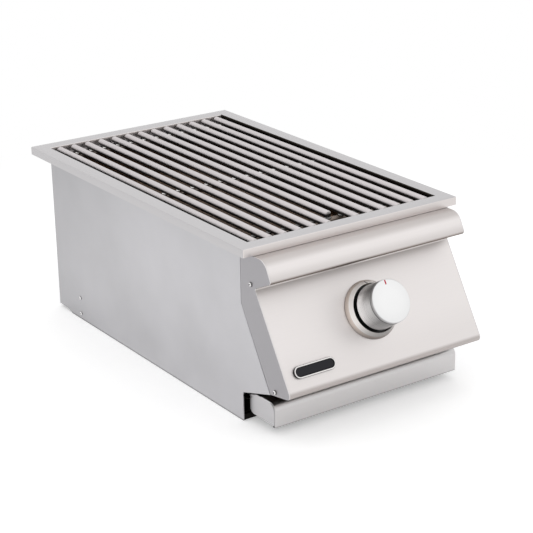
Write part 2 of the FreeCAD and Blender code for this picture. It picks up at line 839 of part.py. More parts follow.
def valve_stem():
    top = knob_front - 3 * knob_wall
    collar_top = valve_body_front - fit_gap
    collar_bottom = collar_top - collar_thickness
    lower = Part.makeCylinder(stem_diameter / 2, knob_back - collar_bottom, Vector(0, 0, collar_bottom))
    upper = d_shaft(knob_back, top)
    end = plug_front - tang_depth
    half_tang = stem_diameter / 2 - tang_relief
    tang = box(-tang_width / 2, tang_width / 2, -half_tang, half_tang, end, collar_bottom)
    return on_slope(lower.fuse([upper, tang]).removeSplitter())


def spring_washer():
    bottom = valve_body_front - fit_gap - collar_thickness
    ring = Part.makeCylinder(collar_diameter / 2, collar_thickness, Vector(0, 0, bottom))
    return on_slope(ring.cut(Part.makeCylinder(stem_diameter / 2, collar_thickness, Vector(0, 0, bottom))))


def valve_spring():
    """Coil of square wire: square sections that climb round the axis, joined by straight sides."""
    half = spring_wire / 2
    top = valve_body_front - fit_gap - collar_thickness - half
    bottom = plug_front + half
    middle = spring_diameter / 2 - half
    sides = []
    steps = spring_turns * spring_steps
    for i in range(steps + 1):
        angle = 2 * math.pi * i / spring_steps
        height = bottom + (top - bottom) * i / steps
        across = Vector(math.cos(angle), math.sin(angle), 0)
        corners = [across * (middle + a * half) + Vector(0, 0, height + b * half)
                   for a, b in ((-1, -1), (1, -1), (1, 1), (-1, 1), (-1, -1))]
        sides.append(Part.makePolygon(corners))
    return on_slope(Part.makeLoft(sides, True, True))


def valve_plug():
    """Closed at rest: its port points down the slope, a quarter turn from the inlet."""
    radius = valve_bore / 2 - plug_fit
    plug = Part.makeCylinder(radius, plug_front - plug_rear, Vector(0, 0, plug_rear))
    slot_depth = tang_depth + push_travel + fit_gap
    slot = box(-tang_width / 2 - 0.1, tang_width / 2 + 0.1, -stem_diameter / 2, stem_diameter / 2,
               plug_front - slot_depth, plug_front + 1)
    bore_end = inlet_height + 0.7 * plug_port
    gas_bore = cylinder(plug_gas_bore, Vector(0, 0, plug_rear - 1), Vector(0, 0, bore_end))
    port = cylinder(plug_port, Vector(0, 0, inlet_height), Vector(0, -2 * radius, inlet_height))
    return on_slope(plug.cut([slot, gas_bore, port]))


def valve_body():
    barrel = Part.makeCylinder(valve_body_diameter / 2, valve_body_front - valve_body_rear,
                               Vector(0, 0, valve_body_rear))
    bore = Part.makeCylinder(valve_bore / 2, valve_body_front - plug_rear + fit_gap + 1,
                             Vector(0, 0, plug_rear - fit_gap))
    along, across = Vector(0, outlet_reach, 0), Vector(inlet_reach, 0, 0)
    outlet = cylinder(outlet_boss, outlet_start, outlet_start + along)
    inlet = cylinder(inlet_boss, inlet_start, inlet_start + across)
    body = on_slope(barrel).fuse([outlet, inlet])
    gas_in = cylinder(inlet_bore, inlet_start, inlet_start + across * 2)
    gas_out = cylinder(outlet_bore, outlet_start - along / 2, outlet_start + along * 2)
    return body.cut([on_slope(bore), gas_in, gas_out]).removeSplitter()


def valve_bonnet():
    """Cover that closes the valve's front and holds it to the control panel by two ears."""
    back = -sheet - valve_ear_thickness
    ears = slot_prism(valve_ear_width, valve_ear_height, valve_ear_thickness, back)
    neck = Part.makeCylinder(valve_neck_diameter / 2 - fit_gap, sheet + 1, Vector(0, 0, -sheet - 1))
    disc_depth = back - valve_body_front + 1
    disc = Part.makeCylinder(valve_body_diameter / 2, disc_depth, Vector(0, 0, valve_body_front))
    stem_hole = Part.makeCylinder(stem_diameter / 2 + plug_fit, valve_body_diameter,
                                  Vector(0, 0, valve_body_front - 1))
    screws = [cylinder(screw_shank, Vector(x, 0, 2 * back), Vector(x, 0, 1))
              for x in (-bezel_screw_spread / 2, bezel_screw_spread / 2)]
    return on_slope(ears.fuse([neck, disc]).cut([stem_hole] + screws).removeSplitter())


# Gas line

def orifice_spud():
    start = outlet_start + Vector(0, outlet_reach, 0)
    shoulder = start + Vector(0, orifice_hex_length, 0)
    tip = shoulder + Vector(0, orifice_nose, 0)
    spud = hexagon(orifice_hex, start, shoulder).fuse(cylinder(orifice_diameter, shoulder, tip))
    return spud.cut(cylinder(orifice_bore, start - Vector(0, 1, 0), tip + Vector(0, 1, 0)))


def pipe_points():
    start = inlet_start + Vector(inlet_reach, 0, 0)
    corner = Vector(pipe_x, start.y, start.z)
    below = Vector(pipe_x, start.y, pipe_z)
    end = Vector(pipe_x, casing_rear - sheet - fitting_hex_length, pipe_z)
    return [start, corner, below, end]


def supply_pipe():
    route = pipe_points()
    bore = tube_along(route, pipe_bend, pipe_diameter - 2 * pipe_wall)
    return tube_along(route, pipe_bend, pipe_diameter).cut(bore)


def supply_nut():
    start = pipe_points()[0]
    end = start + Vector(pipe_nut_length, 0, 0)
    return hexagon(pipe_nut, start, end).cut(cylinder(pipe_diameter, start, end))


def gas_inlet():
    """Fitting through the rear panel, with a male flare end for the gas hose."""
    start = pipe_points()[-1]
    wall = Vector(pipe_x, casing_rear - sheet, pipe_z)
    step = Vector(pipe_x, flare_end_y - flare_length, pipe_z)
    end = Vector(pipe_x, flare_end_y, pipe_z)
    body = hexagon(fitting_hex, start, wall).fuse([
        cylinder(fitting_diameter, wall - Vector(0, 1, 0), step), cylinder(flare_diameter, step, end)])
    body = body.makeChamfer(1.0, [e for e in body.Edges if e.BoundBox.YMin > flare_end_y - 0.1])
    return body.cut(cylinder(fitting_bore, start - Vector(0, 1, 0), end + Vector(0, 1, 0)))


def inlet_nut():
    start = Vector(pipe_x, casing_rear, pipe_z)
    end = start + Vector(0, nut_thickness, 0)
    return hexagon(fitting_hex, start, end).cut(cylinder(fitting_diameter, start, end))


def pipe_clip():
    top = -firebox_depth - sheet
    bore = pipe_diameter + 2 * shutter_fit
    near, far = clip_y - clip_width / 2, clip_y + clip_width / 2
    ring = cylinder(bore + 2 * sheet, Vector(pipe_x, near, pipe_z), Vector(pipe_x, far, pipe_z))
    web = box(pipe_x - sheet / 2, pipe_x + sheet / 2, near, far, pipe_z, top)
    foot = box(pipe_x - sheet / 2, pipe_x + clip_foot - sheet / 2, near, far, top - sheet, top)
    return ring.fuse([web, foot]).cut(cylinder(bore, Vector(pipe_x, near - 1, pipe_z),
                                                Vector(pipe_x, far + 1, pipe_z))).removeSplitter()


# Spark igniter

def piezo_igniter():
    x = -(valve_body_diameter + piezo_diameter) / 2 - fit_gap
    front = -sheet - valve_ear_thickness
    tube = Part.makeCylinder(piezo_diameter / 2, front - piezo_rear, Vector(0, 0, piezo_rear))
    return on_slope(tube, x)


def piezo_terminal():
    x = -(valve_body_diameter + piezo_diameter) / 2 - fit_gap
    return knob_centre + outward * piezo_rear + Vector(x, 0, 0)


def electrode_axis():
    return electrode_x, plenum_front_y - electrode_stand


def wire_route():
    """From the igniter, through the firebox's front wall, and up into the electrode."""
    start = piezo_terminal()
    lead = start - outward * wire_lead
    through = Vector(electrode_x, firebox_front_y - sheet / 2, electrode_bottom - wire_drop)
    x, y = electrode_axis()
    below = Vector(x, y, through.z + wire_rise)
    return [start, lead, through, below, Vector(x, y, electrode_bottom)]


def igniter_wire():
    return tube_along(wire_route(), wire_bends, wire_diameter)


def igniter_electrode():
    x, y = electrode_axis()
    foot, top = Vector(x, y, electrode_bottom), Vector(x, y, electrode_top)
    collar = Vector(x, y, electrode_collar_z)
    body = cylinder(electrode_diameter, foot, top)
    body = body.fuse(cylinder(electrode_collar, collar, collar + Vector(0, 0, electrode_collar_height)))
    tip = Vector(x, y, electrode_pin_top)
    pin = cylinder(electrode_pin, top, tip)
    elbow = tip - Vector(0, 0, electrode_pin / 2)
    point = cylinder(electrode_pin, elbow, tip + Vector(0, electrode_pin_reach, 0))
    return body.fuse([pin, point]).removeSplitter()


def igniter_bracket():
    x, y = electrode_axis()
    half = electrode_plate_width / 2
    top = electrode_collar_z
    path = [(plenum_front_y, top - electrode_plate_height / 2), (plenum_front_y, top), (y - half * 0.7, top)]
    plate = folded_sheet(path, [0, bend, 0], sheet, x - half, x + half)
    hole = cylinder(electrode_diameter + 2 * badge_fit, Vector(x, y, top - 10), Vector(x, y, top + 10))
    return plate.cut(hole)


# Badge

def badge_rim():
    ring = slot_prism(badge_length, badge_height, badge_thickness)
    inset = 2 * badge_border
    inside = slot_prism(badge_length - inset, badge_height - inset, 3 * badge_thickness, -1)
    return on_slope(ring.cut(inside), badge_x, badge_down_slope)


def badge_plate():
    inset = 2 * badge_border + 2 * badge_fit
    plate = slot_prism(badge_length - inset, badge_height - inset, badge_thickness - badge_recess)
    return on_slope(plate, badge_x, badge_down_slope)


# Drip tray

def tray_side_corners(inset):
    front, back = tray_front_y + inset, tray_front_back
    top, bottom = tray_front_top - inset, tray_front_bottom + inset
    return [(back, top - tray_side_drop), (back - tray_side_slant, top), (front, top), (front, bottom),
            (back, bottom)]


def tray_front():
    path = [(tray_front_y + tray_front_flange, tray_front_top), (tray_front_y, tray_front_top),
            (tray_front_y, tray_front_bottom), (tray_front_y + tray_front_lip, tray_front_bottom)]
    face = folded_sheet(path, [0, tray_front_radius, bend, 0], sheet, -tray_half, tray_half)
    rounds = [0, 0, tray_front_radius - sheet, bend - sheet, tray_heel_radius]
    side = side_plate(tray_side_corners(sheet), -tray_half, -tray_half + sheet, rounds)
    return face.fuse([side, mirrored(side)]).removeSplitter()


def tray_pan():
    half = pan_half
    front = tray_front_y + sheet
    top = pan_bottom + pan_height
    outer = box(-half, half, front, pan_rear, pan_bottom, top)
    outer = outer.makeFillet(pan_corner, [e for e in outer.Edges if e.BoundBox.ZLength > 1])
    lower = [e for e in outer.Edges if e.BoundBox.ZMax < pan_bottom + 0.1]
    outer = outer.makeFillet(bend, lower)
    well = box(-half + sheet, half - sheet, front + sheet, pan_rear - sheet, pan_bottom + sheet, top + 1)
    well = well.makeFillet(pan_corner - sheet, [e for e in well.Edges if e.BoundBox.ZLength > 1])
    rims = [box(-half - pan_rim, -half + sheet, tray_front_back, pan_rear, top - sheet, top)]
    rims.append(mirrored(rims[0]))
    return outer.cut(well).fuse([rims[0].cut(well), rims[1].cut(well)]).removeSplitter()


def tray_runner():
    shelf_top = pan_bottom - fit_gap
    inner = inner_face - runner_shelf
    near, far = casing_front + 2 * sheet, pan_rear + fit_gap + sheet
    strip = box(-inner_face, -inner_face + sheet, near, far, runner_bottom, runner_top)
    shelf = box(-inner_face, -inner, near, far, shelf_top - sheet, shelf_top)
    stop = box(-inner_face, -inner, far - sheet, far, shelf_top - sheet, shelf_top + runner_stop)
    runner = strip.fuse([shelf, stop])
    holes = [cylinder(rivet_shank, Vector(-half_casing, rivet_y, z), Vector(-inner, rivet_y, z))
             for z in (upper_rivet_z, lower_rivet_z)]
    return runner.cut(holes).removeSplitter()


def pieces():
    rails = (mid_y - plenum_half_y + rail_inset, mid_y + plenum_half_y - rail_inset)
    made = {
        "rim_frame": rim_frame(),
        "left_side_panel": side_panel(),
        "right_side_panel": mirrored(side_panel()),
        "rear_panel": rear_panel(),
        "floor_panel": floor_panel(),
        "control_panel": control_panel(),
        "left_cheek": cheek(),
        "right_cheek": mirrored(cheek()),
        "left_front_bracket": front_bracket(),
        "right_front_bracket": mirrored(front_bracket()),
        "cheek_screws": cheek_screws(),
        "side_rivets": side_rivets(),
        "badge_rim": badge_rim(),
        "badge_plate": badge_plate(),
        "firebox_front": firebox_front(),
        "firebox_rear": firebox_rear(),
        "firebox_left": firebox_side(),
        "firebox_right": mirrored(firebox_side()),
        "firebox_floor": firebox_floor(),
        "burner_plenum": burner_plenum(),
        "tile_frame": tile_frame(),
        "front_burner_rail": burner_rail(rails[0]),
        "rear_burner_rail": burner_rail(rails[1]),
        "diffuser_plate": diffuser_plate(),
        "venturi_tube": venturi_tube(),
        "air_shutter": air_shutter(),
        "shutter_screw": shutter_screw(),
        "bezel": bezel(),
        "bezel_screws": bezel_screws(),
        "knob": knob(),
        "valve_stem": valve_stem(),
        "spring_washer": spring_washer(),
        "valve_spring": valve_spring(),
        "valve_plug": valve_plug(),
        "valve_body": valve_body(),
        "valve_bonnet": valve_bonnet(),
        "orifice_spud": orifice_spud(),
        "supply_pipe": supply_pipe(),
        "supply_nut": supply_nut(),
        "gas_inlet": gas_inlet(),
        "inlet_nut": inlet_nut(),
        "pipe_clip": pipe_clip(),
        "piezo_igniter": piezo_igniter(),
        "igniter_wire": igniter_wire(),
        "igniter_electrode": igniter_electrode(),
        "igniter_bracket": igniter_bracket(),
        "grate_rods": grate_rods(),
        "cross_rods": cross_rods(),
        "left_tray_runner": tray_runner(),
        "right_tray_runner": mirrored(tray_runner()),
        "tray_pan": tray_pan(),
        "tray_front": tray_front(),
    }
    for row in range(tile_rows):
        for column in range(tile_columns):
            made[f"ceramic_tile_{row * tile_columns + column + 1}"] = ceramic_tile(column, row)
    return made


def main():
    os.makedirs("parts", exist_ok=True)
    for name, shape in pieces().items():
        placed = shape.copy()
        placed.translate(-seat_origin)
        placed.exportStep(f"parts/{name}.step")
        box_now = placed.BoundBox
        print(f"{name}: {len(placed.Solids)} solid, valid {placed.isValid()}, {placed.Volume:.0f} mm3,"
              f" {box_now.XLength:.1f} x {box_now.YLength:.1f} x {box_now.ZLength:.1f}")


main()
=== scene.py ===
import json
import math

import bmesh
import bpy
import numpy as np
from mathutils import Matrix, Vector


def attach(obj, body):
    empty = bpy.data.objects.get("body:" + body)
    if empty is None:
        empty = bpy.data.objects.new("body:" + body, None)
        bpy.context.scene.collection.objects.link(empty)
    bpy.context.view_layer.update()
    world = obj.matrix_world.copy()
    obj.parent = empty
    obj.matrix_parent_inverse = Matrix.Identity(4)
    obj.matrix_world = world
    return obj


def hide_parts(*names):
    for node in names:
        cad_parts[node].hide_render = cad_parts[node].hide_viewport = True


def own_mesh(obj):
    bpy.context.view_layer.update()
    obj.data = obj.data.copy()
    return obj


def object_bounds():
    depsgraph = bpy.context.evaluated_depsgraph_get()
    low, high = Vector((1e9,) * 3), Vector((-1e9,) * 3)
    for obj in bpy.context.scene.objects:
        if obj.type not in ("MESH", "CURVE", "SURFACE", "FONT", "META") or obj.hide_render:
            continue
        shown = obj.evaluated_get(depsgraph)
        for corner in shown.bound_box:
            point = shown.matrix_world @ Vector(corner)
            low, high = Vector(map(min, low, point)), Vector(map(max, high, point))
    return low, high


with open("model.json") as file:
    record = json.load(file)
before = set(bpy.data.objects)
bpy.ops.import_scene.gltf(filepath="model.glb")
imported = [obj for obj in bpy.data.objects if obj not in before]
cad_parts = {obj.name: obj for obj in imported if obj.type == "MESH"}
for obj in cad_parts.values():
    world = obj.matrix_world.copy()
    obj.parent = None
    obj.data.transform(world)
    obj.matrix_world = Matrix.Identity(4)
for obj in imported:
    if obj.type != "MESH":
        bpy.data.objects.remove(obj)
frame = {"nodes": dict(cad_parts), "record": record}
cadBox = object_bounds()
print("frame loaded")

# Shapes are worked out in millimetres: X from the middle, Y from the rim's front edge, Z from the rim's top.
# The frame's own origin lies at seatOrigin there
seatOrigin = np.array([0.0, 547.5, -11.0])
slopeTop = np.array([0.0, -0.7, -53.8])
slopeAngle = math.radians(31.3)
outward = np.array([0.0, -math.cos(slopeAngle), math.sin(slopeAngle)])
downSlope = np.array([0.0, -math.sin(slopeAngle), -math.cos(slopeAngle)])
knobDown = 63.2
knobCentre = slopeTop + knobDown * downSlope
casing = {"half": 154.0, "sheet": 1.2, "front": 29.6, "seam": 0.4}


# Shapes as arrays

# Corners in a plane, each cut by the arc that touches both of its sides
def roundedPath(corners, radii, stepDegrees=5.0):
    corners = np.array(corners, float)
    points = []
    for i, radius in enumerate(radii):
        corner = corners[i]
        if not radius:
            points.append(corner[None])
            continue
        back, ahead = corners[i - 1] - corner, corners[(i + 1) % len(corners)] - corner
        back, ahead = back / np.linalg.norm(back), ahead / np.linalg.norm(ahead)
        half = math.acos(np.clip(back @ ahead, -1, 1)) / 2
        middle = (back + ahead) / np.linalg.norm(back + ahead)
        centre = corner + middle * radius / math.sin(half)
        sweep = math.pi / 2 - half
        steps = max(2, int(round(math.degrees(2 * sweep) / stepDegrees)))
        turn = np.linspace(-sweep, sweep, steps + 1)[:, None]
        side = np.array([-middle[1], middle[0]])
        side = side if side @ ahead > 0 else -side
        points.append(centre + radius * (np.sin(turn) * side - np.cos(turn) * middle))
    return np.concatenate(points)


# Every point goes to the left of the path by the distance, along its two sides' mean normal
def movedLeft(path, distance):
    step = np.diff(path, axis=0)
    step /= np.linalg.norm(step, axis=1)[:, None]
    normal = np.stack([-step[:, 1], step[:, 0]], axis=1)
    first = np.concatenate([normal[:1], normal])
    second = np.concatenate([normal, normal[-1:]])
    mean = first + second
    return path + mean * (2 * distance / (mean ** 2).sum(1))[:, None]


# Points (y, z) of a side view, set at one x or at several
def sideways(path, x):
    x = np.broadcast_to(x, (len(path),))
    return np.stack([x, path[:, 0], path[:, 1]], axis=1)


# Points drawn about Z stand on the slope: Z outward, Y up the slope
def onSlope(points, x=0.0, down=knobDown):
    base = slopeTop + down * downSlope + np.array([x, 0, 0])
    across = points[..., :1] * np.array([1.0, 0, 0])
    return base + across - points[..., 1:2] * downSlope + points[..., 2:3] * outward


# Radius and height of each profile point, carried round Z in equal turns
def lathe(profile, sides=96):
    profile = np.array(profile, float)
    turn = np.linspace(0, 2 * math.pi, sides + 1)[None, :]
    radius, height = profile[:, :1], profile[:, 1:2]
    return np.stack([radius * np.cos(turn), radius * np.sin(turn), height + 0 * turn], axis=2)


# How near points are joined and how edges are rounded: distances in metres, the angle in radians
joining = {"merge": 2e-6, "speck": 1e-7, "bevelSegments": 2, "bevelAngle": math.radians(40)}


# Grids of points become quads between neighbours. Points nearer than the merge distance become one, which
# closes seams and poles, and faces are turned outwards
def makePiece(name, grids, body, slot, replaced=(), bevel=0.0, sharp=30.0, flats=(), finish=None):
    points, faces, used = [], [], 0
    for grid in grids:
        rows, columns = grid.shape[:2]
        number = used + np.arange(rows * columns).reshape(rows, columns)
        quads = np.stack([number[:-1, :-1], number[1:, :-1], number[1:, 1:], number[:-1, 1:]], axis=-1)
        points.append(grid.reshape(-1, 3))
        faces += quads.reshape(-1, 4).tolist()
        used += rows * columns
    for ring in flats:
        points.append(ring)
        faces.append(list(range(used, used + len(ring))))
        used += len(ring)
    mesh = bpy.data.meshes.new(name)
    placed = (np.concatenate(points) - seatOrigin) / 1000
    mesh.from_pydata(placed.tolist(), [], faces)
    work = bmesh.new()
    work.from_mesh(mesh)
    bmesh.ops.remove_doubles(work, verts=work.verts, dist=joining["merge"])
    bmesh.ops.dissolve_degenerate(work, edges=work.edges, dist=joining["speck"])
    bmesh.ops.recalc_face_normals(work, faces=work.faces)
    work.to_mesh(mesh)
    work.free()
    mesh.shade_smooth()
    mesh.set_sharp_from_angle(angle=math.radians(sharp))
    piece = bpy.data.objects.new(name, mesh)
    bpy.context.scene.collection.objects.link(piece)
    if bevel:
        edge = piece.modifiers.new("edges", "BEVEL")
        edge.width = bevel / 1000
        edge.segments = joining["bevelSegments"]
        edge.limit_method = "ANGLE"
        edge.angle_limit = joining["bevelAngle"]
        edge.harden_normals = True
    mesh.materials.append(finish or finishes[slot])
    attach(piece, body)
    if replaced:
        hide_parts(*replaced)
    return piece


# The shell of a sheet bent along a side-view path: both faces, both ends and both cut edges
def bentSheet(path, thickness, x0, x1):
    inner = movedLeft(path, thickness)
    a0, a1, b0, b1 = (sideways(p, x) for p in (path, inner) for x in (x0, x1))
    shell = [np.stack([a0, a1]), np.stack([b0, b1]), np.stack([a0, b0]), np.stack([a1, b1])]
    return shell + [np.array([[a0[i], a1[i]], [b0[i], b1[i]]]) for i in (0, -1)]


# A flat outline (y, z) between two x planes: two flat faces and the rim between them
def plate(outline, x0, x1):
    near, far = sideways(outline, x0), sideways(outline, x1)
    ring = np.stack([np.concatenate([near, near[:1]]), np.concatenate([far, far[:1]])])
    return [ring], [near, far]


# Materials

floatKind, colorKind, vectorKind = "NodeSocketFloat", "NodeSocketColor", "NodeSocketVector"
# Noise of the brushing, of the slow change of tone and of the lathe marks, and the share of their strength
# that the lathe marks keep past their height. A face takes its other tone, a painted lit or shaded one, past
# the values in turnedAway
streakNoise = {"Scale": 1.0, "Detail": 4.0, "Roughness": 0.62}
broadNoise = {"Scale": 7.0, "Detail": 3.0}
ringNoise = {"Scale": 1.6, "Detail": 5.0, "Roughness": 0.7}
grainKeys = {"Stretch": "stretch", "Grain": "grain", "Mottle": "mottle", "Roughness": "rough"}
faintRings = 0.2
plainSpecular = 0.5
turnedAway = {"along": 0.75, "inwardShade": -0.05}


# A node group with the named inputs, each with its value, and the named outputs
def newGroup(name, inputs, outputs):
    group = bpy.data.node_groups.new(name, "ShaderNodeTree")
    for label, kind, value in inputs:
        socket = group.interface.new_socket(name=label, in_out="INPUT", socket_type=kind)
        if value is not None:
            socket.default_value = value
    for label, kind in outputs:
        group.interface.new_socket(name=label, in_out="OUTPUT", socket_type=kind)
    return group, group.nodes.new("NodeGroupInput"), group.nodes.new("NodeGroupOutput")


# A node with its settings, each of its inputs linked to a socket or set to a value
def addNode(tree, kind, links=None, **settings):
    node = tree.nodes.new(kind)
    for key, value in settings.items():
        setattr(node, key, value)
    for socket, value in (links or {}).items():
        target = node.inputs[socket]
        if isinstance(value, bpy.types.NodeSocket):
            tree.links.new(value, target)
        else:
            target.default_value = value
    return node


# The result of one operation on two numbers or two vectors
def mathNode(tree, operation, first, second, vector=False):
    kind = "ShaderNodeVectorMath" if vector else "ShaderNodeMath"
    return addNode(tree, kind, {0: first, 1: second}, operation=operation).outputs[0]


# The first colour where the mask is 0, the second where it is 1
def mixColor(tree, mask, first, second):
    mix = addNode(tree, "ShaderNodeMix", data_type="RGBA")
    for socket, value in ((mix.inputs[0], mask), (mix.inputs[6], first), (mix.inputs[7], second)):
        if isinstance(value, bpy.types.NodeSocket):
            tree.links.new(value, socket)
        else:
            socket.default_value = (*value, 1)
    return mix.outputs[2]


# A gain that goes smoothly from one value to another between two places along a direction, used to paint
# light and shade
def buildLightShadeGain():
    group, given, made = newGroup(
        "lightShadeGain",
        [("Position", vectorKind, None), ("Direction", vectorKind, (0, 0, 1)), ("From", floatKind, 0.0),
         ("To", floatKind, 1.0), ("First gain", floatKind, 1.0), ("Last gain", floatKind, 1.0)],
        [("Gain", floatKind)])
    along = addNode(group, "ShaderNodeVectorMath", operation="DOT_PRODUCT",
                    links={0: given.outputs["Position"], 1: given.outputs["Direction"]})
    change = addNode(group, "ShaderNodeMapRange", interpolation_type="SMOOTHSTEP",
                     links={0: along.outputs["Value"], 1: given.outputs["From"], 2: given.outputs["To"],
                            3: given.outputs["First gain"], 4: given.outputs["Last gain"]})
    group.links.new(change.outputs[0], made.inputs["Gain"])
    return group


# Stretched noise for the brushing and broad noise for the slow change, each less a half and times its
# share. Their sum is added to 1 for the gain of the tone, and to the roughness
def buildBrushedGrain():
    group, given, made = newGroup(
        "brushedGrain",
        [("Position", vectorKind, None), ("Stretch", vectorKind, (1, 1, 1)),
         ("Tone", colorKind, (0.8, 0.8, 0.8, 1)), ("Grain", floatKind, 0.05), ("Mottle", floatKind, 0.05),
         ("Roughness", floatKind, 0.3)],
        [("Color", colorKind), ("Roughness", floatKind), ("Height", floatKind)])
    position = given.outputs["Position"]
    stretched = mathNode(group, "MULTIPLY", position, given.outputs["Stretch"], vector=True)
    streaks = addNode(group, "ShaderNodeTexNoise", {"Vector": stretched, **streakNoise})
    broad = addNode(group, "ShaderNodeTexNoise", {"Vector": position, **broadNoise})
    fine = mathNode(group, "SUBTRACT", streaks.outputs["Fac"], 0.5)
    fineShare = mathNode(group, "MULTIPLY", fine, given.outputs["Grain"])
    slow = mathNode(group, "SUBTRACT", broad.outputs["Fac"], 0.5)
    slowShare = mathNode(group, "MULTIPLY", slow, given.outputs["Mottle"])
    change = mathNode(group, "ADD", fineShare, slowShare)
    gain = mathNode(group, "ADD", change, 1.0)
    tone = addNode(group, "ShaderNodeVectorMath", {0: given.outputs["Tone"], 3: gain}, operation="SCALE")
    rough = mathNode(group, "ADD", change, given.outputs["Roughness"])
    group.links.new(tone.outputs[0], made.inputs["Color"])
    group.links.new(rough, made.inputs["Roughness"])
    group.links.new(streaks.outputs["Fac"], made.inputs["Height"])
    return group


# Lathe marks: noise over the distance from the axis and the height along it, in millimetres. They are faint
# past one height. Up to it a painted highlight raises the tone at both sides, by a share of
# (x x - y y) / (x x + y y) where that is over 0
def buildTurnedGrain():
    group, given, made = newGroup(
        "turnedGrain",
        [("Position", vectorKind, None), ("Tone", colorKind, (0.8, 0.8, 0.8, 1)), ("Grain", floatKind, 0.1),
         ("Roughness", floatKind, 0.3), ("Side highlight", floatKind, 0.0), ("Below", floatKind, 0.0)],
        [("Color", colorKind), ("Roughness", floatKind), ("Height", floatKind)])
    parts = addNode(group, "ShaderNodeSeparateXYZ", {0: given.outputs["Position"]})
    across = mathNode(group, "MULTIPLY", parts.outputs[0], parts.outputs[0])
    upward = mathNode(group, "MULTIPLY", parts.outputs[1], parts.outputs[1])
    square = mathNode(group, "ADD", across, upward)
    radius = mathNode(group, "SQRT", square, 0.0)
    turned = mathNode(group, "DIVIDE", mathNode(group, "SUBTRACT", across, upward), square)
    turned = mathNode(group, "MAXIMUM", turned, 0.0)
    lower = mathNode(group, "LESS_THAN", parts.outputs[2], given.outputs["Below"])
    sides = mathNode(group, "MULTIPLY", mathNode(group, "MULTIPLY", turned, lower), given.outputs["Side highlight"])
    ringed = addNode(group, "ShaderNodeCombineXYZ", {0: radius, 1: parts.outputs[2]})
    rings = addNode(group, "ShaderNodeTexNoise", {"Vector": ringed.outputs[0], **ringNoise})
    depth = mathNode(group, "ADD", mathNode(group, "MULTIPLY", lower, 1 - faintRings), faintRings)
    share = mathNode(group, "MULTIPLY", mathNode(group, "SUBTRACT", rings.outputs["Fac"], 0.5),
                     mathNode(group, "MULTIPLY", given.outputs["Grain"], depth))
    gain = mathNode(group, "ADD", mathNode(group, "ADD", share, sides), 1.0)
    tone = addNode(group, "ShaderNodeVectorMath", {0: given.outputs["Tone"], 3: gain}, operation="SCALE")
    group.links.new(tone.outputs[0], made.inputs["Color"])
    group.links.new(mathNode(group, "ADD", share, given.outputs["Roughness"]), made.inputs["Roughness"])
    group.links.new(rings.outputs["Fac"], made.inputs["Height"])
    return group


# A painted or engraved line: 1 within half a width of the axis, between two distances up the slope and
# above a height, and 0 elsewhere
def buildMarkLine():
    group, given, made = newGroup(
        "markLine",
        [("Position", vectorKind, None), ("Half width", floatKind, 0.6), ("From", floatKind, 20.0),
         ("To", floatKind, 27.0), ("Above", floatKind, 0.0)],
        [("Mask", floatKind)])
    parts = addNode(group, "ShaderNodeSeparateXYZ", {0: given.outputs["Position"]})
    near = mathNode(group, "LESS_THAN", mathNode(group, "ABSOLUTE", parts.outputs[0], 0.0),
                    given.outputs["Half width"])
    past = mathNode(group, "GREATER_THAN", parts.outputs[1], given.outputs["From"])
    before = mathNode(group, "LESS_THAN", parts.outputs[1], given.outputs["To"])
    over = mathNode(group, "GREATER_THAN", parts.outputs[2], given.outputs["Above"])
    mask = mathNode(group, "MULTIPLY", mathNode(group, "MULTIPLY", near, past),
                    mathNode(group, "MULTIPLY", before, over))
    group.links.new(mask, made.inputs["Mask"])
    return group


brushedGrain, turnedGrain, markLine = buildBrushedGrain(), buildTurnedGrain(), buildMarkLine()
lightShadeGain = buildLightShadeGain()


# A material, its nodes, its shader and the place on the object, in metres
def newMaterial(name, metallic):
    material = bpy.data.materials.new(name)
    material.use_nodes = True
    tree = material.node_tree
    shader = tree.nodes["Principled BSDF"]
    shader.inputs["Metallic"].default_value = metallic
    where = addNode(tree, "ShaderNodeTexCoord")
    return material, tree, shader, where.outputs["Object"]


# A group's roughness and relief go into the material's own shader, with its colour or one made from it
def wearGrain(tree, shader, look, bump, color=None, depth=0.0002):
    relief = addNode(tree, "ShaderNodeBump", {"Height": look.outputs["Height"], "Strength": bump,
                                              "Distance": depth})
    tree.links.new(color or look.outputs["Color"], shader.inputs["Base Color"])
    tree.links.new(look.outputs["Roughness"], shader.inputs["Roughness"])
    tree.links.new(relief.outputs["Normal"], shader.inputs["Normal"])


# A tone taken through gains that paint light and shade: each a direction, two places along it in the
# position's own units, and the gains there
def paintLightAndShade(tree, position, tone, lightAndShade):
    for change in lightAndShade:
        step = addNode(tree, "ShaderNodeGroup", node_tree=lightShadeGain)
        tree.links.new(position, step.inputs["Position"])
        for label, value in zip(("Direction", "From", "To", "First gain", "Last gain"), change):
            step.inputs[label].default_value = value
        scaled = addNode(tree, "ShaderNodeVectorMath", {0: tone, 3: step.outputs["Gain"]}, operation="SCALE")
        tone = scaled.outputs[0]
    return tone
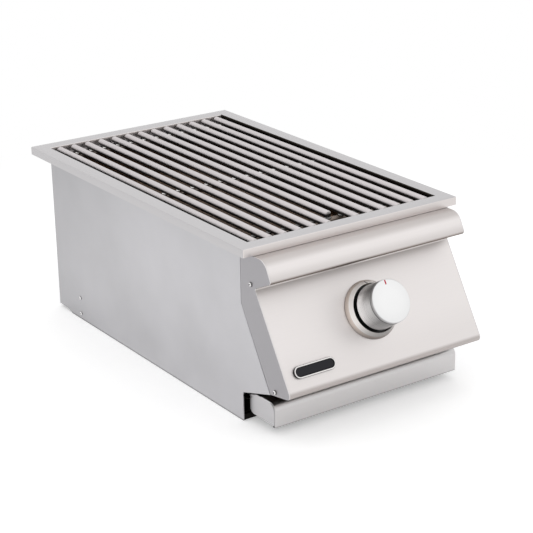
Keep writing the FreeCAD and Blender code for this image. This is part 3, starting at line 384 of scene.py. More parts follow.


# A plain or brushed surface. The changes are slow changes of tone, in metres, that paint light and shade.
# The facing tone: a direction, and the tone of faces whose normal lies along it, either way, by more than a
# share, so that these faces and the others show painted light and shade. The inward tone: painted shade on
# faces that look to the middle plane, where x times the normal's x is under a small negative number
def makeMetal(name, tone, rough, stretch, grain=0.06, mottle=0.06, metallic=1.0, bump=0.05, lightAndShade=(),
              facingLight=None, inwardShade=None):
    material, tree, shader, position = newMaterial(name, metallic)
    look = addNode(tree, "ShaderNodeGroup", node_tree=brushedGrain)
    tree.links.new(position, look.inputs["Position"])
    for label, value in (("Stretch", stretch), ("Tone", (*tone, 1)), ("Grain", grain), ("Mottle", mottle),
                         ("Roughness", rough)):
        look.inputs[label].default_value = value
    normal = position.node.outputs["Normal"]
    if facingLight:
        turned = addNode(tree, "ShaderNodeVectorMath", {0: normal, 1: facingLight[0]}, operation="DOT_PRODUCT")
        either = mathNode(tree, "ABSOLUTE", turned.outputs["Value"], 0.0)
        tone = mixColor(tree, mathNode(tree, "GREATER_THAN", either, turnedAway["along"]), tone, facingLight[1])
    if inwardShade:
        across = mathNode(tree, "MULTIPLY", normal, position, vector=True)
        share = addNode(tree, "ShaderNodeSeparateXYZ", {0: across}).outputs["X"]
        tone = mixColor(tree, mathNode(tree, "LESS_THAN", share, turnedAway["inwardShade"]), tone, inwardShade)
    if facingLight or inwardShade or lightAndShade:
        tree.links.new(paintLightAndShade(tree, position, tone, lightAndShade), look.inputs["Tone"])
    wearGrain(tree, shader, look, bump)
    return material


# Object coordinates in millimetres about the stem: X across, Y up the slope, Z outward
def aboutStem(tree, position):
    turn = slopeAngle - math.pi / 2
    centre = knobCentre - seatOrigin
    moved = -np.array([centre[0], centre[1] * math.cos(turn) - centre[2] * math.sin(turn),
                       centre[1] * math.sin(turn) + centre[2] * math.cos(turn)])
    local = addNode(tree, "ShaderNodeMapping", {"Vector": position, "Location": tuple(moved),
                                                "Rotation": (turn, 0, 0), "Scale": (1000, 1000, 1000)})
    return local.outputs[0]


# Brushed steel of the panel, with painted shade. A share of painted shade mixes its tone with the dark tone
# painted under the lip. On the nose it is the sum of the fades at the lip, low on the front and at the crown,
# and on the slope of those below the lip, at the toe and over the lower part
def makePanelSteel(name, facts):
    material, tree, shader, position = newMaterial(name, 1.0)
    parts = addNode(tree, "ShaderNodeSeparateXYZ", {0: aboutStem(tree, position)})
    raw = addNode(tree, "ShaderNodeSeparateXYZ", {0: position})
    up, out = parts.outputs[1], parts.outputs[2]
    sagging = mathNode(tree, "ADD", up, mathNode(tree, "MULTIPLY", out, facts["sag"]))
    above = mathNode(tree, "SUBTRACT", sagging, knobDown)

    # Each fade of painted shade goes smoothly from 0 at its first place to its share at its last, and they
    # are added up
    def sumOfFades(*fades):
        total = 0.0
        for value, key in fades:
            first, last, share = facts[key]
            ramp = addNode(tree, "ShaderNodeMapRange", {0: value, 1: first, 2: last, 3: 0.0, 4: share},
                           interpolation_type="SMOOTHSTEP")
            total = mathNode(tree, "ADD", total, ramp.outputs[0])
        return total

    onNose = mathNode(tree, "GREATER_THAN", out, facts["noseFrom"])
    offNose = mathNode(tree, "SUBTRACT", 1.0, onNose)
    noseShade = sumOfFades((above, "lip"), (above, "low"), (raw.outputs[2], "crown"))
    slopeShade = sumOfFades((above, "below"), (up, "toe"), (up, "lower"))
    paintedShade = mathNode(tree, "ADD", mathNode(tree, "MULTIPLY", onNose, noseShade),
                    mathNode(tree, "MULTIPLY", offNose, slopeShade))
    look = addNode(tree, "ShaderNodeGroup", node_tree=brushedGrain)
    tree.links.new(position, look.inputs["Position"])
    for label, key in grainKeys.items():
        look.inputs[label].default_value = facts[key]
    tree.links.new(mixColor(tree, paintedShade, facts["tone"], facts["under"]), look.inputs["Tone"])
    wearGrain(tree, shader, look, facts["bump"])
    return material


# A turned metal whose tone follows the height along the axis, with painted light and shade among its tones.
# Within the bore's radius it takes a painted shade tone, and on the mark it is the mark's, which is no metal
def makeTurned(name, facts):
    material, tree, shader, position = newMaterial(name, 1.0)
    local = aboutStem(tree, position)
    parts = addNode(tree, "ShaderNodeSeparateXYZ", {0: local})
    low, high = facts["tones"][0][0], facts["tones"][-1][0]
    share = addNode(tree, "ShaderNodeMapRange", {"Value": parts.outputs[2], 1: low, 2: high, 3: 0.0, 4: 1.0})
    ramp = addNode(tree, "ShaderNodeValToRGB", {0: share.outputs[0]})
    stops = ramp.color_ramp.elements
    while len(stops) < len(facts["tones"]):
        stops.new(0.5)
    for stop, (height, tone) in zip(stops, facts["tones"]):
        stop.position, stop.color = (height - low) / (high - low), (*tone, 1)
    color = ramp.outputs[0]
    if "bore" in facts:
        flat = addNode(tree, "ShaderNodeVectorMath", {0: local, 1: (1, 1, 0)}, operation="MULTIPLY")
        radius = addNode(tree, "ShaderNodeVectorMath", {0: flat.outputs[0]}, operation="LENGTH")
        inside = mathNode(tree, "LESS_THAN", radius.outputs["Value"], facts["bore"])
        color = mixColor(tree, inside, color, facts["boreShade"])
    mark = addNode(tree, "ShaderNodeGroup", node_tree=markLine)
    tree.links.new(local, mark.inputs["Position"])
    for label, value in zip(("Half width", "From", "To", "Above"), facts["mark"]):
        mark.inputs[label].default_value = value
    look = addNode(tree, "ShaderNodeGroup", node_tree=turnedGrain)
    tree.links.new(local, look.inputs["Position"])
    look.inputs["Side highlight"].default_value, look.inputs["Below"].default_value = facts["sides"]
    color = paintLightAndShade(tree, local, color, facts["lightAndShade"])
    tree.links.new(mixColor(tree, mark.outputs["Mask"], color, facts["markTone"]), look.inputs["Tone"])
    look.inputs["Grain"].default_value = facts["grain"]
    look.inputs["Roughness"].default_value = facts["rough"]
    wearGrain(tree, shader, look, facts["bump"])
    plain = mathNode(tree, "SUBTRACT", 1.0, mark.outputs["Mask"])
    tree.links.new(mathNode(tree, "MULTIPLY", plain, facts["metallic"]), shader.inputs["Metallic"])
    tree.links.new(mathNode(tree, "MULTIPLY", plain, plainSpecular), shader.inputs["Specular IOR Level"])
    return material


# Fired clay, mottled by the broad noise. Its holes are dots of painted shade: it has the hole's tone where
# the distance to the nearest point of a square grid is under a share of the pitch
def makeTileCeramic(name, facts):
    material, tree, shader, position = newMaterial(name, 0.0)
    look = addNode(tree, "ShaderNodeGroup", node_tree=brushedGrain)
    tree.links.new(position, look.inputs["Position"])
    look.inputs["Tone"].default_value = (*facts["tone"], 1)
    for label, key in grainKeys.items():
        look.inputs[label].default_value = facts[key]
    flat = addNode(tree, "ShaderNodeVectorMath", {0: position, 1: (1, 1, 0)}, operation="MULTIPLY")
    holes = addNode(tree, "ShaderNodeTexVoronoi", {"Vector": flat.outputs[0], "Scale": 1 / facts["pitch"],
                                                   "Randomness": 0.0})
    mask = mathNode(tree, "LESS_THAN", holes.outputs["Distance"], facts["share"])
    color = mixColor(tree, mask, look.outputs["Color"], facts["hole"])
    wearGrain(tree, shader, look, facts["bump"], color, facts["relief"])
    return material


# Changes of the brushing in a metre: few along it, many across
alongX, alongY, alongZ = (40, 1500, 1500), (1500, 40, 1500), (1500, 1500, 40)
# The under tone is the painted shade below the nose's lip; the lip, low, crown, below, toe and lower entries
# are fades of painted shade: where each starts, where it ends and its share
panelFinish = {"tone": (0.79, 0.755, 0.745), "under": (0.16, 0.12, 0.10), "rough": 0.46, "stretch": alongX,
               "grain": 0.06, "mottle": 0.06, "bump": 0.05, "noseFrom": 1.0, "sag": 0.11,
               "lip": (3.5, -0.5, 0.9), "low": (16.0, 3.0, 0.22), "crown": (-0.010, -0.002, 0.35),
               "below": (-14.0, 0.0, 0.20), "toe": (-69.0, -74.5, 0.42), "lower": (-10.0, -70.0, 0.07)}
# Knob: the barrel is painted darker towards the face as shade, with a near-black band of painted shade in the
# groove; painted highlights raise both sides below the groove, and the upper barrel near the back is painted
# lighter. The red line on the face is a printed pointer
knobFinish = {"tones": [(15.0, (0.42, 0.415, 0.415)), (30.0, (0.29, 0.29, 0.29)), (42.9, (0.24, 0.24, 0.24)),
                        (43.1, (0.05, 0.05, 0.05)), (44.1, (0.05, 0.05, 0.05)), (44.3, (0.36, 0.36, 0.36)),
                        (48.0, (0.50, 0.50, 0.51)), (48.9, (0.86, 0.86, 0.86))],
              "mark": (0.95, 21.5, 27.4, 48.0), "markTone": (0.50, 0.006, 0.03), "grain": 0.28, "rough": 0.30,
              "bump": 0.03, "metallic": 0.65, "sides": (1.7, 43.0),
              "lightAndShade": [((0, 1, -1), -20.0, -4.0, 1.0, 1.8)]}
# Bezel: a near-black painted shadow at its foot, an outer wall painted a darker brown as shade and
# reflection, the bore painted near black as shade and its lower part darkened as painted shade. The tick at
# the top is a real mark
bezelFinish = {"tones": [(0.0, (0.03, 0.025, 0.022)), (0.9, (0.52, 0.44, 0.39)), (5.9, (0.80, 0.70, 0.63)),
                         (6.2, (1.0, 0.98, 0.96)), (7.0, (1.0, 0.98, 0.96)), (7.4, (1.0, 0.95, 0.915)),
                         (13.0, (1.0, 0.96, 0.93))],
               "bore": 32.0, "boreShade": (0.012, 0.012, 0.012), "mark": (0.7, 32.6, 36.2, 5.5),
               "markTone": (0.02, 0.02, 0.02), "grain": 0.25, "rough": 0.34, "bump": 0.03, "metallic": 0.0,
               "sides": (0.0, 14.0), "lightAndShade": [((0, 1, 0), -38.0, -8.0, 0.32, 1.0)]}
# Badge rim: its sides up to near the top are near black as painted shade, and its top is bright
badgeFinish = {"tones": [(0.0, (0.02, 0.02, 0.02)), (2.95, (0.05, 0.045, 0.045)), (3.15, (0.76, 0.74, 0.73)),
                         (3.3, (0.76, 0.74, 0.73))],
               "mark": (0.0, 0.0, 0.0, 99.0), "markTone": (0, 0, 0), "grain": 0.05, "rough": 0.25,
               "bump": 0.03, "metallic": 1.0, "sides": (0.0, 0.0), "lightAndShade": []}
# Tile: a dark brown that is partly heat stain and partly the painted shade of the inside, with holes of
# near-black painted shade
tileFinish = {"tone": (0.17, 0.105, 0.068), "hole": (0.006, 0.005, 0.004), "pitch": 0.0026, "share": 0.26,
              "stretch": (300, 300, 300), "grain": 0.3, "mottle": 1.2, "rough": 0.85, "bump": 0.2,
              "relief": 0.0004}
finishes = {
    # Rim: painted light a little darker towards +x, its front and back faces painted lighter, and the faces
    # that look to the middle painted near black as shade
    "rim_steel": makeMetal("rimSteel", (0.57, 0.557, 0.565), 0.36, alongY,
                           lightAndShade=[((1, 0, 0), -0.15, 0.15, 0.98, 0.96)],
                           facingLight=((0, 1, 0), (0.76, 0.715, 0.70)), inwardShade=(0.03, 0.025, 0.02)),
    "panel_steel": makePanelSteel("panelSteel", panelFinish),
    # Side panels: painted shade, darker towards the rear and in a thin band along the bottom edge
    "side_steel": makeMetal("sideSteel", (0.53, 0.524, 0.54), 0.38, alongY, mottle=0.6,
                            lightAndShade=[((0, 1, 0), -0.32, -0.02, 1.0, 0.86),
                                     ((0, 0, 1), -0.2320, -0.2290, 0.4, 1.0)]),
    # Cheeks: the faces along X take the cheek's own darker tone, and the cut edges round them a lighter tone,
    # a painted highlight
    "cheek_steel": makeMetal("cheekSteel", (0.76, 0.74, 0.74), 0.42, alongZ,
                             facingLight=((1, 0, 0), (0.39, 0.38, 0.395))),
    # Tray front: painted shade in a band along its bottom, and its faces along X painted a little darker as
    # the shaded side
    "tray_steel": makeMetal("traySteel", (0.605, 0.59, 0.59), 0.36, alongX,
                            lightAndShade=[((0, 0, 1), -0.2220, -0.2185, 0.5, 1.0)],
                            facingLight=((1, 0, 0), (0.56, 0.55, 0.56))),
    # Rods: painted shade over the lower part of each rod below a lit top; the end faces, along Y, take a tone
    # of their own
    "rod_steel": makeMetal("rodSteel", (0.64, 0.605, 0.61), 0.5, alongX, grain=0.12, metallic=0.8,
                           lightAndShade=[((0, 0, 1), 0.0060, 0.0080, 0.08, 1.0)],
                           facingLight=((0, 1, 0), (0.6, 0.58, 0.57))),
    "plain_steel": makeMetal("plainSteel", (0.40, 0.39, 0.385), 0.42, alongX, mottle=0.2),
    "bright_steel": makeMetal("brightSteel", (0.82, 0.82, 0.82), 0.16, alongX),
    "bezel_metal": makeTurned("bezelMetal", bezelFinish),
    "knob_metal": makeTurned("knobMetal", knobFinish),
    "brass": makeMetal("turnedBrass", (0.62, 0.44, 0.18), 0.3, alongX),
    "badge_black": makeMetal("badgeBlack", (0.03, 0.03, 0.033), 0.4, alongX, metallic=1.0),
    "tile_ceramic": makeTileCeramic("tileCeramic", tileFinish),
    "igniter_plastic": makeMetal("igniterPlastic", (0.02, 0.02, 0.02), 0.45, alongZ, metallic=0.0),
    "wire_sleeve": makeMetal("wireSleeve", (0.16, 0.02, 0.015), 0.5, alongX, metallic=0.0),
    "electrode_ceramic": makeMetal("electrodeCeramic", (0.8, 0.77, 0.7), 0.3, alongX, metallic=0.0),
}
# Screw and rivet heads: dark round their domes, with a painted highlight on the faces that look along X
screwGlintAndShade = makeMetal("screwGlintAndShade", (0.16, 0.155, 0.155), 0.2, alongX,
                       facingLight=((1, 0, 0), (0.84, 0.83, 0.83)))
badgeRimShadedSides = makeTurned("badgeRimShadedSides", badgeFinish)
# Firebox, burner and rails: dark brown, partly heat stain and partly painted shade of the inside
heatStainAndShade = makeMetal("heatStainAndShadeSteel", (0.17, 0.10, 0.062), 0.55, alongX, grain=0.3, mottle=0.9)
# Near black as painted shade: the parts inside the casing and the cups in the screw sockets
shadeBlackSteel = makeMetal("shadeBlackSteel", (0.012, 0.011, 0.01), 0.6, alongX)
# Weld beads: near white as a painted highlight, with painted shade on the front row
weldGlint = makeMetal("weldGlint", (0.97, 0.95, 0.93), 0.22, alongX,
                      lightAndShade=[((0, 1, 0), -0.50, -0.47, 0.1, 1.0)])
# Cross rods: a dark brown that paints the shade under the rods
shadedCrossRod = makeMetal("crossRodShade", (0.24, 0.20, 0.175), 0.45, alongX, grain=0.2, mottle=0.6)
hotNodes = ("firebox_front", "firebox_rear", "firebox_left", "firebox_right", "firebox_floor", "tile_frame",
            "burner_plenum", "front_burner_rail", "rear_burner_rail")
shadedInnerNodes = ("left_tray_runner", "right_tray_runner", "left_front_bracket", "right_front_bracket",
              "floor_panel", "tray_pan")
slotOf = {entry["node"]: entry["material_slot"] for entry in frame["record"]["subparts"]}
for node, thing in frame["nodes"].items():
    thing.data.materials.clear()
    plainFinish = shadeBlackSteel if node in shadedInnerNodes else finishes[slotOf[node]]
    thing.data.materials.append(heatStainAndShade if node in hotNodes else plainFinish)
print("materials made")

# Control panel: one bent sheet with a rounded nose

panel = {"noseTop": -12.0, "reach": 38.3, "sag": 4.2, "brow": math.radians(61.5), "length": 143.833,
         "foot": 35.4, "footAngle": math.radians(9), "radii": [0, 18, 4, 2, 6, 0], "edge": 0.2}
side = slice(1, 3)
lip = (slopeTop + panel["reach"] * outward + panel["sag"] * downSlope)[side]
toe = (slopeTop + panel["length"] * downSlope)[side]
footEnd = toe + panel["foot"] * np.array([math.cos(panel["footAngle"]), -math.sin(panel["footAngle"])])
noseCorners = [(casing["front"] - casing["seam"], panel["noseTop"]),
               (lip[0] + (panel["noseTop"] - lip[1]) / math.tan(panel["brow"]), panel["noseTop"]),
               lip, slopeTop[side], toe, footEnd]
nosePath = roundedPath(noseCorners, panel["radii"], 4)
inner = casing["half"] - casing["sheet"]
makePiece("controlPanel", bentSheet(nosePath, casing["sheet"], -inner, inner), "casing", "panel_steel",
          ["control_panel"], bevel=panel["edge"])

# Cheeks: end plates with the nose's outline, down to the heel behind the toe

cheek = {"setback": 44.9, "shoulder": -81.5, "edge": 0.25}
heelY = toe[0] + cheek["setback"] - casing["seam"]
heelZ = toe[1] - math.tan(panel["footAngle"]) * (heelY - toe[0])
cheekCorners = noseCorners[:-1] + [(heelY, heelZ), (heelY, heelZ + casing["seam"]),
                                   (casing["front"] - casing["seam"], cheek["shoulder"] - casing["seam"] / 2)]
cheekOutline = roundedPath(cheekCorners, panel["radii"][:-1] + [0, 0, 0], 4)
for name, sign in (("left", -1), ("right", 1)):
    grids, flats = plate(cheekOutline, sign * casing["half"], sign * inner)
    makePiece(name + "Cheek", grids, "casing", "cheek_steel", [name + "_cheek"], bevel=cheek["edge"],
              flats=flats)
print("control panel and cheeks made")

# Rim: a folded frame, its section carried round the rectangle

rim = {"halfWidth": 169.5, "halfDepth": 275.75, "height": 11.0, "flange": 21.0, "corner": 2.0, "bend": 1.5,
       "tightest": 0.3, "hem": 8.0, "frontLedge": 15.5, "rearLedge": 13.5, "ledgeTop": -9.8, "skirtDrop": 0.6}


# A rectangle with rounded corners, one inset from the rim's outside, at one height
def ringAt(inset, z, steps=6):
    radius = max(rim["corner"] - inset, rim["tightest"])
    hx, hy = rim["halfWidth"] - inset - radius, rim["halfDepth"] - inset - radius
    turn = np.linspace(0, math.pi / 2, steps)
    corners = []
    for i, (cx, cy) in enumerate(((hx, hy), (-hx, hy), (-hx, -hy), (hx, -hy))):
        angle = turn + i * math.pi / 2
        corners.append(np.stack([cx + radius * np.cos(angle), cy + radius * np.sin(angle)], axis=1))
    flat = np.concatenate(corners + [corners[0][:1]])
    return np.column_stack([flat[:, 0], flat[:, 1] + rim["halfDepth"], np.full(len(flat), z)])


skirt = roundedPath([(0, -rim["height"]), (0, 0), (rim["flange"], 0), (rim["flange"], -rim["height"])],
                    [0, rim["bend"], rim["bend"], 0], 15)
section = np.concatenate([skirt, movedLeft(skirt, -casing["sheet"])[::-1], skirt[:1]])
rimGrid = np.stack([ringAt(d, z) for d, z in section])


# A box: its foot and its top, and the four faces between them
def slab(x0, x1, y0, y1, z0, z1):
    xs, ys = np.array([x0, x1, x1, x0, x0]), np.array([y0, y0, y1, y1, y0])
    ring = [np.column_stack([xs, ys, np.full(5, z)]) for z in (z0, z1)]
    return [np.stack(ring)], [ring[0][:4], ring[1][:4]]


holeHalf, depth = rim["halfWidth"] - rim["flange"], 2 * rim["halfDepth"]
outer, under, sheet = rim["halfWidth"], -rim["height"], casing["sheet"]
hem, flange, ledgeTop = rim["hem"], rim["flange"], rim["ledgeTop"]
sunk = sheet / 2
backLedge = depth - flange - rim["rearLedge"]
# Hems at the left, the right and the back, ledges under the rods' front and rear ends, and the front
# skirt's foot
strips = [(sunk - outer, hem - outer, sunk, depth - sunk, under, under + sheet),
          (outer - hem, outer - sunk, sunk, depth - sunk, under, under + sheet),
          (hem - outer, outer - hem, depth - hem, depth - sunk, under, under + sheet),
          (-holeHalf, holeHalf, flange - sunk, flange + rim["frontLedge"], ledgeTop - sheet, ledgeTop),
          (-holeHalf, holeHalf, backLedge, depth - flange + sunk, ledgeTop - sheet, ledgeTop),
          (-casing["half"], casing["half"], 0, sheet, under - rim["skirtDrop"], under)]
grids, flats = [rimGrid], []
for strip in strips:
    more = slab(*strip)
    grids += more[0]
    flats += more[1]
makePiece("rimFrame", grids, "casing", "rim_steel", ["rim_frame"], flats=flats)
print("rim made")

# Cooking grate: rods with rounded ends, welded on three cross rods

grate = {"radius": 4.75, "pitch": 22.6, "count": 13, "front": 23.5, "rear": 526.0, "short": 31.5,
         "round": 1.5, "crossRows": (56.5, 270.0, 511.5), "crossHalf": 139.8, "crossRound": 0.7, "sides": 28,
         "weld": (5.0, 5.6, 1.7), "sunk": 0.05}


# Radius and height up one end's rounding, along the bar, and down the other's
def barProfile(radius, length, edge):
    turn = np.linspace(0, math.pi / 2, 5)
    rise = np.column_stack([radius - edge + edge * np.sin(turn), edge - edge * np.cos(turn)])
    fall = np.column_stack([rise[::-1, 0], length - rise[::-1, 1]])
    return np.concatenate([[[0, 0]], rise, fall, [[0, length]]])


rods = []
for i in range(grate["count"]):
    x = (i - (grate["count"] - 1) / 2) * grate["pitch"]
    start = grate["front"] + (grate["short"] if x == 0 else 0)
    bar = lathe(barProfile(grate["radius"], grate["rear"] - start, grate["round"]), grate["sides"])
    rods.append(np.stack([x + bar[..., 0], start + bar[..., 2], bar[..., 1] - grate["radius"]], axis=2))
crossBars, welds = [], []
halfTurn = np.linspace(0, math.pi, 8)
blob = lathe(np.column_stack([np.sin(halfTurn), -np.cos(halfTurn)]), 14) * np.array(grate["weld"])
for y in grate["crossRows"]:
    bar = lathe(barProfile(grate["radius"], 2 * grate["crossHalf"], grate["crossRound"]), grate["sides"])
    height = bar[..., 1] - 3 * grate["radius"] + grate["sunk"]
    crossBars.append(np.stack([bar[..., 2] - grate["crossHalf"], y + bar[..., 0], height], axis=2))
    for i in range(grate["count"]):
        x = (i - (grate["count"] - 1) / 2) * grate["pitch"]
        welds.append(blob + np.array([x, y, -2 * grate["radius"]]))
makePiece("grateRods", rods, "grate", "rod_steel", ["grate_rods"], sharp=50)
makePiece("crossRods", crossBars, "grate", "rod_steel", ["cross_rods"], sharp=50, finish=shadedCrossRod)
makePiece("weldBeads", welds, "grate", "rod_steel", sharp=80, finish=weldGlint)
print("grate made")

# Bezel and knob, turned about the stem

bezel = {"corners": [(10, 0), (38.5, 0), (38.5, 1.5), (36, 6.5), (32.3, 13.0), (32.3, 1.5), (10, 1.5),
                     (10, 0)],
         "radii": [0, 0.2, 0.6, 0.5, 0.5, 0.5, 0, 0], "sides": 120}
bezelPath = roundedPath(bezel["corners"], bezel["radii"], 15)
makePiece("bezel", [onSlope(lathe(bezelPath, bezel["sides"]))], "casing", "bezel_metal", ["bezel"], sharp=40)

knob = {"skirt": 30.0, "face": 28.25, "back": 15.5, "front": 49.0, "wall": 2.5, "groove": (43.0, 44.2, 0.7),
        "edge": 1.4, "crown": 0.2, "hub": 7.5, "hubDepth": 24.0, "bore": 4.0, "sides": 128}


# The barrel's radius goes evenly from the skirt's at the back to the face's at the front
def barrelRadius(height):
    share = (height - knob["back"]) / (knob["front"] - knob["back"])
    return knob["skirt"] + (knob["face"] - knob["skirt"]) * share


low, high, cut = knob["groove"]
ceiling = knob["front"] - 2 * knob["wall"]
boreEnd, hubEnd = ceiling - knob["wall"], ceiling - knob["hubDepth"]
knobCorners = [(knob["bore"], boreEnd), (knob["bore"], hubEnd), (knob["hub"], hubEnd), (knob["hub"], ceiling),
               (knob["face"] - knob["wall"], ceiling),
               (knob["skirt"] - knob["wall"], knob["back"]), (knob["skirt"], knob["back"]),
               (barrelRadius(low), low), (barrelRadius(low) - cut, low), (barrelRadius(high) - cut, high),
               (barrelRadius(high), high), (knob["face"], knob["front"] - knob["crown"]), (0, knob["front"])]
knobRadii = [0, 0, 0.4, 1.0, 1.0, 0.6, 0.7, 0.35, 0, 0, 0.3, knob["edge"], 0]
knobProfile = np.concatenate([[(0, boreEnd)], roundedPath(knobCorners, knobRadii, 12)])
makePiece("knob", [onSlope(lathe(knobProfile, knob["sides"]))], "knob", "knob_metal", ["knob"], sharp=40)
print("knob and bezel made")

# Valve spring: a coil of round wire on the plug, drawn at one length with a mesh of its own. On the real
# valve the knob's push shortens it

spring = {"foot": -19.0, "top": -11.3, "coil": 5.05, "wire": 0.45, "turns": 4, "stroke": 3.0}


# A circle of the wire's radius carried along a helix, in planes through the axis
def coil(facts, around=14, perTurn=24):
    turn = np.linspace(0, 2 * math.pi * facts["turns"], facts["turns"] * perTurn + 1)[:, None]
    section = np.linspace(0, 2 * math.pi, around + 1)[None, :]
    low, high = facts["foot"] + facts["wire"], facts["top"] - facts["wire"]
    radius = facts["coil"] + facts["wire"] * np.cos(section)
    height = low + (high - low) * turn / turn[-1] + facts["wire"] * np.sin(section)
    return np.stack([radius * np.cos(turn), radius * np.sin(turn), height], axis=2)


wire = coil(spring)
coilSpring = makePiece("valveSpring", [onSlope(wire)], "valve_plug", "bright_steel", ["valve_spring"],
                       flats=[onSlope(wire[i, :-1]) for i in (0, -1)])
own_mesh(coilSpring)
print("valve spring made")

# Badge, left blank: an oblong rim round a dark plate

badge = {"length": 62.5, "height": 16.0, "x": -107.6, "down": 112.833, "thick": 3.2, "border": 2.2,
         "round": 0.8, "recess": 0.8, "fit": 0.1, "plateEdge": [(0.1, 0.3), (0.5, 0.05), (2.5, 0.0)]}


# Two half circles joined by straight sides, set in from the badge's outside by one distance, at one height
def oblong(inset, height, steps=24):
    radius = badge["height"] / 2 - inset
    reach = (badge["length"] - badge["height"]) / 2
    turn = np.linspace(-math.pi / 2, math.pi / 2, steps)
    right = np.column_stack([reach + radius * np.cos(turn), radius * np.sin(turn)])
    flat = np.concatenate([right, -right, right[:1]])
    return np.column_stack([flat, np.full(len(flat), height)])


border, thick = badge["border"], badge["thick"]
rimLoop = roundedPath([(0, 0), (0, thick), (border, thick), (border, 0), (0, 0)],
                      [0, badge["round"], badge["round"], 0, 0], 20)
rimShape = onSlope(np.stack([oblong(d, h) for d, h in rimLoop]), badge["x"], badge["down"])
makePiece("badgeRim", [rimShape], "casing", "panel_steel", ["badge_rim"], sharp=50, finish=badgeRimShadedSides)
plateTop = thick - badge["recess"]
plateLoop = [(border + badge["fit"], 0)] + [(border + d, plateTop - drop) for d, drop in badge["plateEdge"]]
grids = [onSlope(np.stack([oblong(d, h) for d, h in plateLoop]), badge["x"], badge["down"])]
flats = [onSlope(oblong(d, h)[:-1], badge["x"], badge["down"]) for d, h in (plateLoop[0], plateLoop[-1])]
makePiece("badgePlate", grids, "casing", "badge_black", ["badge_plate"], flats=flats, sharp=50)
print("badge made")

# Drip tray's front: a bent sheet closed by two side plates

tray = {"half": 147.3, "front": -31.024, "top": -199.5, "bottom": -232.5, "roll": 10.0, "flange": 30.0,
        "lip": 6.0, "bend": 1.5, "edge": 0.2}
trayEnd = {"back": 24.5, "drop": 5.0, "slant": 16.0, "heel": 8.0, "seam": 1.1, "eased": 4.0, "topGap": 0.05,
           "setIn": 0.3, "backRound": 0.8, "slantRound": 3, "toeRound": 0.4, "edge": 0.25}
front, top, bottom = tray["front"], tray["top"], tray["bottom"]
trayCorners = [(front + tray["flange"], top), (front, top), (front, bottom), (front + tray["lip"], bottom)]
trayPath = roundedPath(trayCorners, [0, tray["roll"], tray["bend"], 0], 6)
traySheet = bentSheet(trayPath, casing["sheet"], -tray["half"], tray["half"])
makePiece("trayFront", traySheet, "drip_tray", "tray_steel", ["tray_front"], bevel=tray["edge"])
back, inset = trayEnd["back"], casing["sheet"] + trayEnd["seam"]
under = top - casing["sheet"] - trayEnd["topGap"]
endCorners = [(back, under - trayEnd["drop"]), (back - trayEnd["slant"], under), (front + inset, under),
              (front + inset, bottom + inset), (back, bottom + inset)]
endRadii = [trayEnd["backRound"], trayEnd["slantRound"], tray["roll"] - inset + trayEnd["eased"],
            trayEnd["toeRound"], trayEnd["heel"]]
endOutline = roundedPath(endCorners, endRadii, 6)
outside = tray["half"] - trayEnd["setIn"]
for name, sign in (("left", -1), ("right", 1)):
    grids, flats = plate(endOutline, sign * outside, sign * (outside - casing["sheet"]))
    makePiece(name + "TrayEnd", grids, "drip_tray", "tray_steel", ["tray_front"], bevel=trayEnd["edge"],
              flats=flats)
print("tray made")

# Screws and rivets: round heads with a socket

fasteners = {
    "cheekScrews": {"head": 3.3, "rise": 2.2, "socket": 1.3, "shank": 2.0, "reach": 8.0,
                    "node": "cheek_screws", "at": [(7.3, -50.0), (-41.624, -176.8)]},
    "sideRivets": {"head": 3.0, "rise": 1.4, "socket": 0.8, "shank": 1.6, "reach": 2.4,
                   "node": "side_rivets", "at": [(454.5, -210.0), (454.5, -234.5)]},
}
# The angle where the crown ends, drops and thicknesses in millimetres, and the socket floor's height as a
# share of the rise
headShape = {"crown": math.radians(70), "brim": 0.05, "wellShare": 0.35, "shadeWall": 0.03, "shadeTop": 0.1,
             "sides": 28}


# From the foot of the shank out under the head, up its round crown, and down into the socket
def headProfile(facts):
    turn = np.linspace(0, headShape["crown"], 8)
    crown = np.column_stack([facts["head"] * np.cos(turn), facts["rise"] * np.sin(turn) / math.sin(turn[-1])])
    shank = [(0, -facts["reach"]), (facts["shank"], -facts["reach"]), (facts["shank"], 0)]
    well = facts["rise"] * headShape["wellShare"]
    socket = [(facts["socket"], facts["rise"] - headShape["brim"]), (facts["socket"], well), (0, well)]
    return np.concatenate([shank, crown, socket])


# A near-black cup of painted shade just inside the socket: up its outside, over its edge, and down its inside
def socketShadeProfile(facts):
    thin = headShape["shadeWall"]
    outer, inner = facts["socket"] - thin, facts["socket"] - 2 * thin
    well = facts["rise"] * headShape["wellShare"] + thin
    brink = facts["rise"] - headShape["shadeTop"]
    return [(0, well), (outer, well), (outer, brink), (inner, brink), (inner, well + thin), (0, well + thin)]


# Copies of a turned form on both sides of the casing
def onBothSides(form, places):
    return [np.stack([sign * (casing["half"] + form[..., 2]), y + form[..., 0], z + form[..., 1]], axis=2)
            for y, z in places for sign in (-1, 1)]


for name, facts in fasteners.items():
    heads = onBothSides(lathe(headProfile(facts), headShape["sides"]), facts["at"])
    makePiece(name, heads, "casing", "bright_steel", [facts["node"]], sharp=45, finish=screwGlintAndShade)
    socketShades = onBothSides(lathe(socketShadeProfile(facts), headShape["sides"]), facts["at"])
    makePiece(name + "SocketShade", socketShades, "casing", "bright_steel", finish=shadeBlackSteel, sharp=45)
print("fasteners made")

# Camera and light

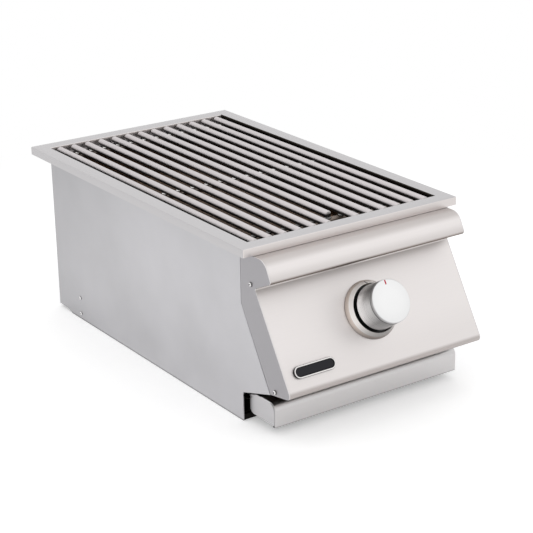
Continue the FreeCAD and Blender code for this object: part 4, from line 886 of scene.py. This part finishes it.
view = {"at": (-1.17612, -2.062317, 0.672311), "turned": (68.9464, 0.5082, -35.805), "sensor": 36.0,
        "lens": 109.05, "shift": (-0.05537, 0.0241), "farthest": 50}
cameraData = bpy.data.cameras.new("camera")
camera = bpy.data.objects.new("camera", cameraData)
bpy.context.scene.collection.objects.link(camera)
camera.location = view["at"]
camera.rotation_euler = [math.radians(a) for a in view["turned"]]
cameraData.sensor_width = view["sensor"]
cameraData.lens = view["lens"]
cameraData.shift_x, cameraData.shift_y = view["shift"]
cameraData.clip_end = view["farthest"]
bpy.context.scene.camera = camera

studio = {
    "middle": (0, -0.27, -0.1), "world": 0.85, "floor": 0.9, "floorRough": 0.9, "floorHalf": 30, "lift": 0.34,
    "shadowReach": (0.45, 1.0),
    "key": {"at": (1.0, -2.2, 2.0), "size": 2.6, "watts": 3.5},
    "side": {"at": (-2.4, -1.2, 1.3), "size": 2.0, "watts": 2},
    "top": {"at": (0.0, 0.3, 2.4), "size": 2.6, "watts": 5},
}


# Strength 1 for what the camera sees directly, in a reflection or through glass, and 0 for other light
def seenDirectly(tree):
    path = addNode(tree, "ShaderNodeLightPath")
    mirrored = mathNode(tree, "MAXIMUM", path.outputs["Is Camera Ray"], path.outputs["Is Glossy Ray"])
    return mathNode(tree, "MAXIMUM", mirrored, path.outputs["Is Transmission Ray"])


world = bpy.data.worlds.new("studio")
bpy.context.scene.world = world
world.use_nodes = True
tree = world.node_tree
tree.nodes.clear()
soft = addNode(tree, "ShaderNodeBackground", {"Color": (1, 1, 1, 1), "Strength": studio["world"]})
white = addNode(tree, "ShaderNodeBackground", {"Color": (1, 1, 1, 1), "Strength": 1.0})
mix = addNode(tree, "ShaderNodeMixShader", {0: seenDirectly(tree), 1: soft.outputs[0], 2: white.outputs[0]})
addNode(tree, "ShaderNodeOutputWorld", {"Surface": mix.outputs[0]})
middle = np.array(studio["middle"])
for name in ("key", "side", "top"):
    lamp = bpy.data.lights.new(name, "AREA")
    lamp.energy, lamp.size = studio[name]["watts"], studio[name]["size"]
    lampObject = bpy.data.objects.new(name, lamp)
    bpy.context.scene.collection.objects.link(lampObject)
    lampObject.location = studio[name]["at"]
    aim = middle - np.array(studio[name]["at"])
    lampObject.rotation_euler = [math.atan2(math.hypot(aim[0], aim[1]), -aim[2]), 0,
                                 math.atan2(-aim[0], aim[1])]

floorMaterial = bpy.data.materials.new("paleFloor")
floorMaterial.use_nodes = True
tree = floorMaterial.node_tree
diffuse = tree.nodes["Principled BSDF"]
diffuse.inputs["Base Color"].default_value = (studio["floor"],) * 3 + (1,)
diffuse.inputs["Roughness"].default_value = studio["floorRough"]
diffuse.inputs["Specular IOR Level"].default_value = 0.0
where = addNode(tree, "ShaderNodeTexCoord")
low, half = cadBox[0][2], studio["floorHalf"]
distance = addNode(tree, "ShaderNodeVectorMath", {0: where.outputs["Object"], 1: (0, middle[1], low)},
                   operation="DISTANCE")
near, far = studio["shadowReach"]
fade = addNode(tree, "ShaderNodeMapRange", interpolation_type="SMOOTHSTEP",
               links={"Value": distance.outputs["Value"], 1: near, 2: far, 3: 0.0, 4: 1.0})
seen = seenDirectly(tree)
lift = addNode(tree, "ShaderNodeEmission", {"Color": (1, 1, 1, 1),
                                            "Strength": mathNode(tree, "MULTIPLY", seen, studio["lift"])})
lifted = addNode(tree, "ShaderNodeAddShader", {0: diffuse.outputs[0], 1: lift.outputs[0]})
blank = addNode(tree, "ShaderNodeEmission", {"Color": (1, 1, 1, 1), "Strength": 1.0})
faded = addNode(tree, "ShaderNodeMixShader", {0: mathNode(tree, "MULTIPLY", seen, fade.outputs[0]),
                                              1: lifted.outputs[0], 2: blank.outputs[0]})
tree.links.new(faded.outputs[0], tree.nodes["Material Output"].inputs["Surface"])
floorMesh = bpy.data.meshes.new("floor")
floorCorners = [(-half, -half, low), (half, -half, low), (half, half, low), (-half, half, low)]
floorMesh.from_pydata(floorCorners, [], [(0, 1, 2, 3)])
floor = bpy.data.objects.new("floor", floorMesh)
bpy.context.scene.collection.objects.link(floor)
floorMesh.materials.append(floorMaterial)
bpy.context.scene.view_settings.view_transform = "Standard"
print("camera and light set")
